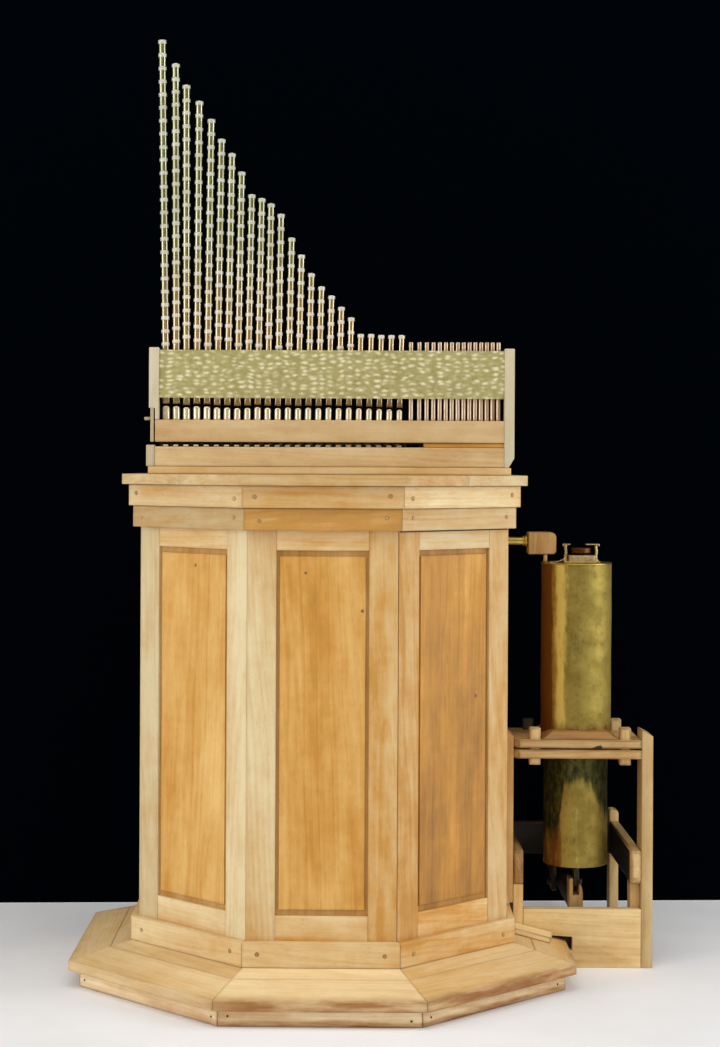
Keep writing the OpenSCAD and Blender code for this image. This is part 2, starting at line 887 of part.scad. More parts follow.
// The cylinder: wide above the platform, narrower below it, with a rolled rim
module pump_barrel() {
    ru = barrel_upper_d / 2;
    rl = barrel_lower_d / 2;
    w = barrel_wall;
    color("darkkhaki")
        translate([pump_x, pump_y, 0])
            rotate_extrude()
                polygon([[rl - w, barrel_low], [rl + rim_t, barrel_low],
                         [rl + rim_t, barrel_low + rim_h - rim_t],
                         [rl, barrel_low + rim_h], [rl, platform_top], [ru, platform_top],
                         [ru, barrel_high], [ru - w, barrel_high], [ru - w, platform_top + w],
                         [rl - w, platform_top + w]]);
}

module pump_lid() {
    color("darkkhaki")
        translate([pump_x, pump_y, lid_z])
            cylinder(d = barrel_upper_d, h = lid_t);
}

// The inlet valve on the lid: a box, two uprights, two top plates and a weight
module valve_gear() {
    box_z = lid_top + valve_plate_t;
    weight_z = box_z + valve_box_h + stem_h;
    color("darkkhaki")
        translate([pump_x + valve_off, pump_y, 0]) {
            translate([-valve_plate_w / 2, -valve_plate_d / 2, lid_top])
                cube([valve_plate_w, valve_plate_d, valve_plate_t]);
            translate([-valve_box_w / 2, -valve_box_d / 2, box_z])
                cube([valve_box_w, valve_box_d, valve_box_h]);
            for (side = [0, 1])
                mirror([side, 0, 0]) {
                    translate([upright_off - upright_w / 2, -upright_d / 2, box_z])
                        cube([upright_w, upright_d, upright_h + valve_plate_t]);
                    translate([top_plate_in, -top_plate_d / 2, box_z + upright_h])
                        cube([top_plate_w, top_plate_d, valve_plate_t]);
                }
            translate([0, 0, box_z])
                cylinder(d = stem_d, h = valve_box_h + stem_h + weight_h / 2);
            translate([0, 0, weight_z])
                cylinder(d = weight_d, h = weight_h);
        }
}

function peg_places() =
    let (dx = collar_w / 2 + peg_w / 2 + peg_gap)
    [[pump_x - dx, stand_y + peg_edge], [pump_x + dx, stand_y + peg_edge],
     [pump_x - dx, stand_y + platform_d - peg_edge],
     [pump_x + dx, stand_y + platform_d - peg_edge]];

module platform_holes() {
    hole = peg_w + 2 * wood_fit;
    for (p = peg_places())
        translate([p[0] - hole / 2, p[1] - hole / 2, platform_z - eps])
            cube([hole, hole, platform_top - platform_z + 2 * eps]);
}

module plank(z, t) {
    translate([0, 0, z])
        difference() {
            linear_extrude(t)
                polygon([[stand_l, stand_y + plank_cut], [stand_l + plank_cut, stand_y],
                         [stand_r, stand_y], [stand_r, stand_y + platform_d],
                         [stand_l, stand_y + platform_d]]);
            translate([pump_x, pump_y, -eps])
                cylinder(d = barrel_lower_d + 2 * wood_fit, h = t + 2 * eps);
        }
}

module platform_upper() {
    color("burlywood")
        difference() {
            plank(platform_z + plank_lower_t + plank_gap, plank_upper_t);
            platform_holes();
        }
}

module platform_lower() {
    color("wheat")
        difference() {
            plank(platform_z, plank_lower_t);
            platform_holes();
        }
}

module barrel_collar() {
    low = collar_w / 2;
    high = low - collar_bevel;
    depth = platform_d / 2 - collar_edge;
    color("burlywood")
        difference() {
            translate([pump_x, stand_y + platform_d / 2, platform_top])
                hull() {
                    translate([-low, -depth, 0])
                        cube([2 * low, 2 * depth, 0.5]);
                    translate([-high, -depth + collar_h, collar_h - 0.5])
                        cube([2 * high, 2 * depth - 2 * collar_h, 0.5]);
                }
            translate([pump_x, pump_y, platform_top - eps])
                cylinder(d = barrel_upper_d + 2 * wood_fit, h = collar_h + 2 * eps);
        }
}

module platform_pegs() {
    color("wheat")
        for (p = peg_places())
            translate([p[0] - peg_w / 2, p[1] - peg_w / 2, platform_z - peg_drop])
                cube([peg_w, peg_w, platform_top - platform_z + peg_drop + peg_rise]);
}

// A main post from one height to its bevelled top
module main_post(x, z) {
    translate([x, stand_y + main_post_d, 0])
        rotate([90, 0, 0])
            linear_extrude(main_post_d)
                polygon([[0, z], [main_post_t, z], [main_post_t, main_post_top - post_bevel],
                         [0, main_post_top]]);
}

module main_post_right() {
    color("wheat")
        main_post(stand_r, 0);
}

module main_post_left() {
    color("peru")
        main_post(half_w, skirting_z + skirting_h + wood_fit);
}

function beam_places() = [stand_l, stand_r - beam_t];

module side_beams() {
    color("burlywood")
        for (x = beam_places())
            translate([x, stand_y, beam_z])
                cube([beam_t, stand_d, beam_h]);
}

module short_posts() {
    back_h = beam_z + beam_h + short_post_rise;
    color("burlywood")
        difference() {
            union() {
                for (x = beam_places())
                    translate([x, stand_back, 0])
                        cube([beam_t, short_post_d, back_h]);
                translate([beam_places()[0], stand_y, 0])
                    cube([beam_t, short_post_d, beam_z]);
                translate([beam_places()[1], stand_y + sill_t, 0])
                    cube([beam_t, short_post_d, beam_z]);
            }
            base_form(wood_fit);
            octagon_plate(tread_out + wood_fit, -1, tread_edge);
        }
}

module back_rail() {
    left = stand_l + beam_t;
    color("burlywood")
        translate([left, stand_back - beam_t, beam_z])
            cube([stand_r - beam_t - left, beam_t, beam_h]);
}

module sill_board() {
    left = stand_l + beam_t;
    color("burlywood")
        difference() {
            translate([left, stand_y, 0])
                cube([stand_r - left, sill_t, sill_h]);
            base_form(wood_fit);
        }
}

module step_batten() {
    color("wheat")
        translate([half_w, stand_y - batten_w - wood_fit, tread_top])
            rotate([0, slope_angle, 0])
                translate([skirting_t + batten_off, 0, 0])
                    cube([batten_l, batten_w, batten_t]);
}

module axle_brackets() {
    back = stand_back - beam_t - axle_y;
    color("peru")
        for (side = [0, 1])
            translate([pump_x, axle_y, axle_z])
                mirror([side, 0, 0])
                    difference() {
                        translate([lever_w / 2 + bracket_gap, -bracket_edge, -bracket_edge])
                            cube([bracket_t, back + bracket_edge,
                                  beam_z + beam_h - axle_z + bracket_edge]);
                        translate([lever_w / 2, 0, 0])
                            rotate([0, 90, 0])
                                cylinder(d = axle_d + 2 * rod_fit, h = 2 * bracket_gap + bracket_t);
                    }
}

module lever_axle() {
    reach = lever_w / 2 + bracket_gap + bracket_t + axle_over;
    color("silver")
        translate([pump_x - reach, axle_y, axle_z])
            rotate([0, 90, 0])
                cylinder(d = axle_d, h = 2 * reach);
}

// The lever: a bar on its axle with a forked block at its front end
module pump_lever() {
    half = lever_w / 2;
    slot = fork_slot_w / 2;
    floor_z = lever_h / 2;
    color("wheat")
        translate([pump_x, axle_y, axle_z])
            difference() {
                union() {
                    translate([-half, -arm_l - fork_front, -lever_h / 2])
                        cube([lever_w, arm_l + fork_front + handle_l, lever_h]);
                    translate([0, -arm_l - fork_front + fork_l, 0])
                        rotate([90, 0, 0])
                            linear_extrude(fork_l)
                                polygon([[-half, 0], [-half, fork_h], [-slot, fork_h],
                                         [-slot, floor_z], [slot, floor_z],
                                         [slot, fork_h - fork_tip],
                                         [half - fork_taper, fork_h - fork_shoulder],
                                         [half, fork_h - fork_root], [half, 0]]);
                }
                translate([-half - eps, 0, 0])
                    rotate([0, 90, 0])
                        cylinder(d = axle_d + 2 * axle_fit, h = lever_w + 2 * eps);
            }
}

// The piston: a disc on a rod, whose flat eye hangs in the lever's fork
module pump_piston() {
    low = barrel_low + piston_rest;
    rod_low = axle_z + fork_h + rod_gap;
    eye_low = axle_z + lever_h / 2 + eye_up;
    eye_t = fork_slot_w - 2 * eye_gap;
    color("peru")
        translate([pump_x, pump_y, 0]) {
            translate([0, 0, low])
                cylinder(d = bore_d - 2 * piston_fit, h = piston_h);
            translate([0, 0, rod_low])
                cylinder(d = rod_d, h = low - rod_low + eps);
            translate([-eye_t / 2, -eye_w / 2, eye_low])
                cube([eye_t, eye_w, rod_low + rod_d / 2 - eye_low]);
        }
}

base_floor();
base_riser();
step_outer_ring();
step_inner_ring();
skirting();
wall_frame(0);  // frame_front
wall_frame(1);  // frame_front_right
wall_frame(2);  // frame_right
wall_frame(3);  // frame_back_right
wall_frame(4);  // frame_back
wall_frame(5);  // frame_back_left
wall_frame(6);  // frame_left
wall_frame(7);  // frame_front_left
wall_panels();
cornice_lower();
cornice_upper();
top_slab();
sole_board();
wind_trunk();
slider_guides();
note_sliders();
slot_closer();
pipe_board();
end_post_left();
end_post_right();
stop_lever();
stop_block();
front_plate();
wide_pipes();
pipe_rings();
thin_pipes();
key_levers();
key_rod();
key_cheeks();
air_pipe();
elbow_block();
outlet_tube();
pump_barrel();
pump_lid();
valve_gear();
platform_upper();
platform_lower();
barrel_collar();
platform_pegs();
main_post_right();
main_post_left();
side_beams();
short_posts();
back_rail();
sill_board();
step_batten();
axle_brackets();
lever_axle();
pump_lever();
pump_piston();
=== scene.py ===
# %% [markdown]
# Water organ: looks
# The solids of the organ are already made and packed. This script dresses them: planed and
# oiled boards, ringed pipes, a polished plate and an old brass pump. Every new piece is a
# surface worked out with numpy, and stands exactly where the solid that it replaces stands.

# %% Load the solids
import math

import bpy
import numpy as np
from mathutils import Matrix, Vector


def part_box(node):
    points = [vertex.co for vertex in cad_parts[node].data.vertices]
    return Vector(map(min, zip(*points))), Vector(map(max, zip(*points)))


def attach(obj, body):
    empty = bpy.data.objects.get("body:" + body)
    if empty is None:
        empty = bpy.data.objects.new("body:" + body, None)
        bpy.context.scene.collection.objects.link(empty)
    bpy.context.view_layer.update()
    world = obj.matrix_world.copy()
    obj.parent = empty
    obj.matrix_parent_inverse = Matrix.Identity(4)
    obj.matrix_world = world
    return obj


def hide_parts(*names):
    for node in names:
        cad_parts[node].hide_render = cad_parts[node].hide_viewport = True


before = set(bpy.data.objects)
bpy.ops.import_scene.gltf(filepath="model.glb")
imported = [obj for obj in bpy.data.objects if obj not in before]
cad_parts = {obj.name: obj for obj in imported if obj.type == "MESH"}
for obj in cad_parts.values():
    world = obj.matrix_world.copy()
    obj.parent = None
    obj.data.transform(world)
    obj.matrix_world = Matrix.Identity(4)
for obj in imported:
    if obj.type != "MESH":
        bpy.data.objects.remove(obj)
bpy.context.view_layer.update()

print("solids:", len(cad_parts), "nodes")

# %% [markdown]
# Driving sizes
# The cabinet is an eight-sided prism. Its sizes are read from the solids, so a change there
# carries through to here. Only what the solids don't tell, such as the width of a frame's
# members, is written down again.

# %% Sizes read from the solids
def low(node):
    """The lowest corner of a solid's box."""
    return np.array(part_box(node)[0])


def high(node):
    """The highest corner of a solid's box."""
    return np.array(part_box(node)[1])


def span(node):
    """Both corners of a solid's box."""
    return low(node), high(node)


def centre_of(node):
    """The middle of a solid's box."""
    return (low(node) + high(node)) / 2


half_w = high("frame_right")[0]
half_front = high("frame_front")[0]
half_side = high("frame_right")[1]
wall_t = high("frame_front")[1] - low("frame_front")[1]
cabinet_top = high("frame_front")[2]
frame_low = low("frame_front")[2]
stile_w = 0.059
panel_tongue = 0.007
panel_recess, panel_t = 0.006, 0.008
field_rise, field_side, field_end = 0.0035, 0.007, 0.012
panel_low = low("wall_panels")[2] + panel_tongue
panel_high = high("wall_panels")[2] - panel_tongue
riser_out = high("base_riser")[0] - half_w
riser_t = 0.025
tread_out = high("step_outer_ring")[0] - half_w
tread_joint = high("step_inner_ring")[0] - half_w
tread_t = 0.022
tread_low = low("step_outer_ring")[2]
tread_edge = tread_low + tread_t
tread_top = high("step_inner_ring")[2]
slope = (tread_top - tread_edge) / tread_out
print("cabinet", round(2 * half_w, 3), "m across,", round(cabinet_top, 3), "m high")


def outline(out):
    """Corners of the cabinet's plan moved out by a distance.
    Each side keeps its direction, so a half side grows by (1 - cos) / sin of its corner's turn."""
    dx, dy = half_w - half_front, half_w - half_side
    nx, ny = dy / math.hypot(dx, dy), dx / math.hypot(dx, dy)
    f = half_front + out * (1 - ny) / nx
    s = half_side + out * (1 - nx) / ny
    w = half_w + out
    return np.array([[-f, -w], [f, -w], [w, -s], [w, s], [f, w], [-f, w], [-w, s], [-w, -s]])


def step_height(out):
    """Height of the sloping step at a distance outside the cabinet's face."""
    return tread_edge + slope * (tread_out - out)


# %% [markdown]
# Boards
# A sawn board has straight faces, edges taken off with a plane, and a grain that runs along
# it. A plain box has none of this. Here a board is a ring of points round its section,
# carried from one end to the other, so its edges are round and its ends may be cut at any
# angle. Each point also keeps its place inside the tree the board was cut from. The wood
# material reads that, so rings run through a board as they do in timber and show as arcs on
# its end.

# %% The section of a board
X, Y, Z = np.eye(3)
rng = np.random.default_rng(824)
edge_band = 0.004


def section(width, depth, bevel):
    """Ring round a rectangle. Corner points are centre + bevel * (cos a, sin a) for three
    angles, and one more point lies a little further along each side."""
    band = min(edge_band, 0.2 * min(width, depth))
    centres = np.array([[width - bevel, depth - bevel], [bevel, depth - bevel],
                        [bevel, bevel], [width - bevel, bevel]])
    start = np.radians([0, 90, 180, 270])[:, None]
    angle = start + np.radians([0, 0, 45, 90, 90])
    normal = np.stack([np.cos(angle), np.sin(angle)], -1)
    along = np.stack([-np.sin(angle), np.cos(angle)], -1) * np.array([-band, 0, 0, 0, band])[:, None]
    points = centres[:, None] + bevel * normal + along
    worn = np.tile([0.0, 1, 1, 1, 0], (4, 1))
    return points.reshape(-1, 2), normal.reshape(-1, 2), worn.reshape(-1)


def strip_faces(rows, ring):
    """Quads between neighbouring closed rings of points: (i, j), (i, j+1), (i+1, j+1), (i+1, j)."""
    i, j = np.meshgrid(np.arange(rows - 1), np.arange(ring), indexing="ij")
    k = (j + 1) % ring
    return np.stack([i * ring + j, i * ring + k, (i + 1) * ring + k, (i + 1) * ring + j],
                    -1).reshape(-1, 4)


def carried(points, closed=True, **attributes):
    """A part from points[row][place on the ring], with its ends closed if wanted. Each
    attribute is an array of one number per point."""
    rows, ring = points.shape[:2]
    part = dict(points=points.reshape(-1, 3), quads=strip_faces(rows, ring),
                **{key: values.reshape(-1) for key, values in attributes.items()})
    if closed:
        part["caps"] = [np.arange(ring)[::-1], (rows - 1) * ring + np.arange(ring)]
    return part


def new_tree():
    """A log to cut boards from: a start along it, the pith's place and how the pith drifts."""
    return rng.uniform(0, 40), rng.uniform([-0.06, 0.015], [0.06, 0.09]), rng.uniform(-0.05, 0.05, 2)


def tree_place(points, origin, axes, tree=None):
    """Where each point of a board lay in its tree: its distance along the grain, and its two
    distances from the pith, which drifts a little along the board."""
    start, pith, drift = tree or new_tree()
    along, across, through = [(points - origin) @ np.asarray(a) for a in axes]
    return np.stack([along + start, across + pith[0] + drift[0] * along,
                     through + pith[1] + drift[1] * along], -1)


def finished(part, place, tone, warm):
    """Gives a board its place in the tree, its brightness and its warmth, from 0 to 1."""
    count = len(part["points"])
    part.update(grain=place, tone=np.full(count, rng.normal(0, 0.5) if tone is None else tone),
                warm=np.full(count, rng.uniform(0.3, 0.6) if warm is None else warm))
    return part


# %% A board between eight corners
def board(corners, bevel=0.001, bow=0.0003, tone=None, warm=None, tree=None, origin=None):
    """A board between eight corners, given as corners[end][side][face]. A point at (s, a, b)
    is the corners' mix, weighted by s along, a across and b through the board. Its section
    sways by bow * sin(5 s + phase), and is made smaller by as much, so it stays inside."""
    corners = np.array(corners, float)
    along = (corners[1] - corners[0]).mean((0, 1))
    across = (corners[:, 1] - corners[:, 0]).mean((0, 1))
    through = (corners[:, :, 1] - corners[:, :, 0]).mean((0, 1))
    length, width, depth = [np.linalg.norm(v) for v in (along, across, through)]
    bevel = min(bevel, 0.2 * min(width, depth))
    ring, normal, worn = section(width, depth, bevel)
    band = min(edge_band, 0.2 * length)
    ends = np.array([[0, bevel, 0.8, 0], [0, bevel, 1, 1], [0.3 * bevel, 0.3 * bevel, 1, 1],
                     [bevel, 0, 1, 1], [bevel + band, 0, 1, 0]])
    middle = np.linspace(ends[-1, 0], length - ends[-1, 0], max(2, int(length / 0.12)))[1:-1]
    rows = np.vstack([ends, np.stack([middle, 0 * middle, 1 + 0 * middle, 0 * middle], -1),
                      (ends * [-1, 1, 1, 1] + [length, 0, 0, 0])[::-1]])
    centre = np.array([width, depth]) / 2
    flat = ring[None] - normal[None] * rows[:, 1, None, None] - centre
    flat = centre + flat * rows[:, 2, None, None] * (centre - bow) / centre
    phase = rng.uniform(0, 2 * np.pi, 2)
    sway = bow * np.sin(rows[:, 0, None] * 5 + phase) * np.sin(np.pi * rows[:, 0, None] / length)
    flat = flat + sway[:, None]
    s = (rows[:, 0] / length)[:, None] + 0 * flat[..., 0]
    mix = np.stack([np.stack([1 - q, q], -1) for q in (s, flat[..., 0] / width, flat[..., 1] / depth)])
    edges = np.maximum(rows[:, 3, None], worn[None] * (rows[:, 2, None] == 1))
    part = carried(np.einsum("rnp,rnq,rnt,pqtx->rnx", *mix, corners), edge=edges)
    if np.dot(np.cross(across, through), along) < 0:
        part["quads"] = part["quads"][:, ::-1]
        part["caps"] = [c[::-1] for c in part["caps"]]
    axes = [along / length, across / width, through / depth]
    points = part["points"]
    place = tree_place(points, points[0] if origin is None else origin, axes, tree)
    return finished(part, place, tone, warm)


def box_board(lo, hi, grain_axis=0, **options):
    """A board that fills a box, with its grain along the x, y or z axis."""
    lo, hi = np.array(lo, float), np.array(hi, float)
    order = [grain_axis, (grain_axis + 1) % 3, (grain_axis + 2) % 3]
    pick = np.stack(np.meshgrid([0, 1], [0, 1], [0, 1], indexing="ij"), -1)
    corners = np.zeros((2, 2, 2, 3))
    corners[..., order] = np.where(pick, hi[order], lo[order])
    return board(corners, **options)


# %% A board cut to an outline
def soften(corners, radii, steps):
    """An outline with round corners. At a corner the circle's centre lies at distance r from
    both sides, and its points are centre + r * (cos a, sin a) for angles between the two
    sides' normals; r is negative at an inner corner."""
    corners = np.array(corners, float)
    ahead = np.roll(corners, -1, 0) - corners
    length = np.linalg.norm(ahead, axis=1)
    out_dir = ahead / length[:, None]
    in_dir = np.roll(out_dir, 1, 0)
    turn = np.arctan2(in_dir[:, 0] * out_dir[:, 1] - in_dir[:, 1] * out_dir[:, 0],
                      (in_dir * out_dir).sum(1))
    radius = np.array(radii, float) * np.sign(turn)
    cut = radius * np.tan(turn / 2)
    in_normal = np.stack([in_dir[:, 1], -in_dir[:, 0]], -1)
    centre = corners - in_dir * cut[:, None] - in_normal * radius[:, None]
    angle = np.arctan2(in_normal[:, 1], in_normal[:, 0])[:, None] + turn[:, None] * np.linspace(0, 1, steps)
    normal = np.stack([np.cos(angle), np.sin(angle)], -1)
    arc = centre[:, None] + radius[:, None, None] * normal
    room = np.minimum(edge_band, 0.2 * np.minimum(length, np.roll(length, 1)))[:, None]
    before, after = arc[:, 0] - in_dir * room, arc[:, -1] + out_dir * room
    points = np.concatenate([before[:, None], arc, after[:, None]], 1)
    normals = np.concatenate([normal[:, :1], normal, normal[:, -1:]], 1)
    worn = np.tile(np.r_[0, np.ones(steps), 0], (len(corners), 1))
    return points.reshape(-1, 2), normals.reshape(-1, 2), worn.reshape(-1)


def cut_board(corners, origin, u, v, thickness, radii=0.0012, steps=3, grain=(1, 0), bevel=0.001,
              tone=None, warm=None):
    """A board of one thickness, sawn to an outline. The outline lies in the plane of u and v,
    and the board reaches from it along u x v."""
    u, v = np.array(u, float), np.array(v, float)
    w = np.cross(u, v)
    ring, normal, worn = soften(corners, np.broadcast_to(radii, len(corners)), steps)
    band = min(edge_band, 0.2 * thickness)
    half = np.array([[0, bevel, 0], [0.3 * bevel, 0.3 * bevel, 1], [bevel, 0, 1], [bevel + band, 0, 0]])
    rows = np.vstack([half, (half * [-1, 1, 1] + [thickness, 0, 0])[::-1]])
    flat = ring[None] - normal[None] * rows[:, 1, None, None]
    points = np.array(origin) + flat[..., :1] * u + flat[..., 1:] * v + rows[:, 0, None, None] * w
    along = grain[0] * u + grain[1] * v
    axes = [along, np.cross(w, along), w]
    edges = np.maximum(rows[:, 2, None], worn[None] * (rows[:, 1, None] < 0.9 * bevel))
    part = carried(points, edge=edges)
    return finished(part, tree_place(part["points"], part["points"][0], axes), tone, warm)


def rectangle(x0, x1, z0, z1):
    """The outline of an uncut board."""
    return [[x0, z0], [x1, z0], [x1, z1], [x0, z1]]


def front_board(shape, near, far, radii=0.002, bevel=0.0015, **options):
    """A board with upright grain, sawn to an outline in x and z, from y = near to y = far."""
    return cut_board(shape, [0, far, 0], X, Z, far - near, radii=radii, bevel=bevel,
                     **{"grain": (0, 1)} | options)


# %% [markdown]
# From arrays to a piece
# Boards that belong to one solid become one mesh. Their grain, their tone and the places
# where hands and tools have worn their edges go along as attributes of the points. Other
# shapes use the same names for what their own material reads.

# %% Make a piece and put it on its body
def add_object(name, data):
    """Puts a mesh, a camera or a lamp into the scene."""
    made = bpy.data.objects.new(name, data)
    bpy.context.scene.collection.objects.link(made)
    return made


point_attributes = {"grain": "FLOAT_VECTOR", **dict.fromkeys(("edge", "tone", "warm", "dark"), "FLOAT")}


def litres(part):
    """Volume inside a part: the sum of a . (b x c) / 6 over its triangles. It is below
    nought where faces point inwards."""
    p, q = part["points"], part["quads"]
    triangles = [q[:, [0, 1, 2]], q[:, [0, 2, 3]]]
    for c in map(np.asarray, part.get("caps", [])):
        triangles.append(np.stack([np.full(len(c) - 2, c[0]), c[1:-1], c[2:]], -1))
    a, b, c = [p[np.concatenate(triangles)[:, n]] for n in range(3)]
    return (a * np.cross(b, c)).sum() / 6 * 1000


def piece(name, parts, material, nodes=(), body="organ"):
    """One mesh from a list of parts, riding on a body and standing for some solids."""
    volumes = [litres(p) for p in parts]
    turned = sum(v < 0 for v in volumes)
    print(f"{name}: {len(parts)} parts, {sum(volumes):.3f} litres, {turned} inside out")
    starts = np.cumsum([0] + [len(p["points"]) for p in parts[:-1]])
    faces = []
    for p, start in zip(parts, starts):
        faces += (p["quads"] + start).tolist()
        faces += [(np.asarray(c) + start).tolist() for c in p.get("caps", [])]
    mesh = bpy.data.meshes.new(name)
    mesh.from_pydata(np.concatenate([p["points"] for p in parts]).tolist(), [], faces)
    mesh.polygons.foreach_set("use_smooth", np.ones(len(faces), bool))
    for key, kind in point_attributes.items():
        if key in parts[0]:
            values = np.concatenate([p[key] for p in parts]).astype(np.float32).reshape(-1)
            store = mesh.attributes.new(key, kind, "POINT")
            store.data.foreach_set("vector" if kind == "FLOAT_VECTOR" else "value", values)
    mesh.materials.append(material)
    made = add_object(name, mesh)
    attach(made, body)
    if nodes:
        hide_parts(*nodes)


# %% [markdown]
# Helpers for materials
# A material is a small network of nodes. What comes out of a node is kept as a signal, and a
# sum or product of signals makes another node, so the networks below read as formulas.

# %% Helpers for node networks
def srgb(red, green, blue):
    """A colour given as 0 to 255 on a screen, as the linear values that Blender works with."""
    c = np.array([red, green, blue]) / 255
    linear = np.where(c <= 0.04045, c / 12.92, ((c + 0.055) / 1.055) ** 2.4)
    return (*linear.tolist(), 1.0)


class Signal:
    """What comes out of a node."""

    def __init__(self, socket):
        self.socket = socket
        self.tree = socket.id_data

    def __add__(self, other):
        return maths("ADD", self, other)

    def __sub__(self, other):
        return maths("SUBTRACT", self, other)

    def __mul__(self, other):
        return maths("MULTIPLY", self, other)

    def __truediv__(self, other):
        return maths("DIVIDE", self, other)

    def __pow__(self, other):
        return maths("POWER", self, other)


def wire(socket, value):
    """Joins a signal to a socket, or writes a number or colour on it."""
    if isinstance(value, Signal):
        value.tree.links.new(value.socket, socket)
    else:
        socket.default_value = value


def add_node(tree, kind, inputs=(), **settings):
    """Makes a node with its settings, and wires its inputs, given in order or by name."""
    node = tree.nodes.new("ShaderNode" + kind)
    for key, value in settings.items():
        setattr(node, key, value)
    for key, value in inputs.items() if isinstance(inputs, dict) else enumerate(inputs):
        wire(node.inputs[key], value)
    return node


def maths(kind, *values, clamp=False):
    return Signal(add_node(values[0].tree, "Math", values, operation=kind, use_clamp=clamp).outputs[0])


def vector_maths(kind, *values):
    return Signal(add_node(values[0].tree, "VectorMath", values, operation=kind).outputs[0])


def scaled(vector, factors):
    """A vector times three factors, or times one signal."""
    if isinstance(factors, Signal):
        node = add_node(vector.tree, "VectorMath", {0: vector, "Scale": factors}, operation="SCALE")
        return Signal(node.outputs[0])
    return vector_maths("MULTIPLY", vector, factors)


def split(vector):
    """The three numbers of a vector or colour."""
    return [Signal(s) for s in add_node(vector.tree, "SeparateXYZ", [vector]).outputs]


def cloud(vector, scale=1.0, detail=3.0, rough=0.5, output=0):
    """Soft noise from 0 to 1, which lies near 0.5."""
    inputs = {"Vector": vector, "Scale": scale, "Detail": detail, "Roughness": rough}
    return Signal(add_node(vector.tree, "TexNoise", inputs).outputs[output])


def between(value, start, end, low_value=0.0, high_value=1.0):
    """A smooth step: low_value below start, high_value above end."""
    inputs = (value, start, end, low_value, high_value)
    return Signal(add_node(value.tree, "MapRange", inputs, interpolation_type="SMOOTHSTEP").outputs[0])


def blend(amount, first, second, kind="MIX"):
    """Two colours mixed: first * (1 - amount) + second * amount, or first * second."""
    tree = next(v.tree for v in (amount, first, second) if isinstance(v, Signal))
    mix = add_node(tree, "Mix", {0: amount, 6: first, 7: second}, data_type="RGBA", blend_type=kind)
    return Signal(mix.outputs[2])


def attribute(tree, name, output="Fac"):
    """Reads one of the mesh's own attributes."""
    return Signal(add_node(tree, "Attribute", attribute_name=name).outputs[output])


def object_place(tree):
    """Where a point lies on its object."""
    return Signal(add_node(tree, "TexCoord").outputs["Object"])


def new_material(name):
    """A material, its network and its shader."""
    material = bpy.data.materials.new(name)
    material.use_nodes = True
    return material, material.node_tree, material.node_tree.nodes["Principled BSDF"]


def new_group(name, numbers, colours):
    """An empty node group with named sockets: its inputs as signals, and its outputs. It
    reads a place, numbers and colours, and gives a colour, a roughness and a height."""
    group = bpy.data.node_groups.new(name, "ShaderNodeTree")
    inputs = {"Place": "Vector", **dict.fromkeys(numbers, "Float"), **dict.fromkeys(colours, "Color")}
    outputs = {"Color": "Color", "Roughness": "Float", "Height": "Float"}
    for way, sockets in (("INPUT", inputs), ("OUTPUT", outputs)):
        for key, kind in sockets.items():
            group.interface.new_socket(name=key, in_out=way, socket_type="NodeSocket" + kind)
    given = group.nodes.new("NodeGroupInput").outputs
    return group, {key: Signal(given[key]) for key in inputs}, group.nodes.new("NodeGroupOutput").inputs


def show(shader, skin, strength, colour=None):
    """Joins what a group gives to the shader: its colour, its roughness, and its height as bumps."""
    wire(shader.inputs["Base Color"], colour or Signal(skin.outputs["Color"]))
    wire(shader.inputs["Roughness"], Signal(skin.outputs["Roughness"]))
    height = Signal(skin.outputs["Height"])
    bump = add_node(skin.id_data, "Bump", {"Height": height, "Distance": relief, "Strength": strength})
    wire(shader.inputs["Normal"], Signal(bump.outputs[0]))


def tint(shader, amount, colour):
    """Mixes the colour that reaches the shader with another one."""
    socket = shader.inputs["Base Color"]
    wire(socket, blend(amount, Signal(socket.links[0].from_socket), colour))


# %% [markdown]
# Wood
# The photo shows a pale, even timber with a soft figure: faint growth rings, short dark
# flecks, greyer and more golden patches, and a few small knots. Growth rings are circles
# round the pith, so their pattern is a wave in the distance from it. Noise bends them, and
# long thin noise makes the fibres. One group makes all of this for every board on the organ.

# %% The wood group
relief = 0.0002


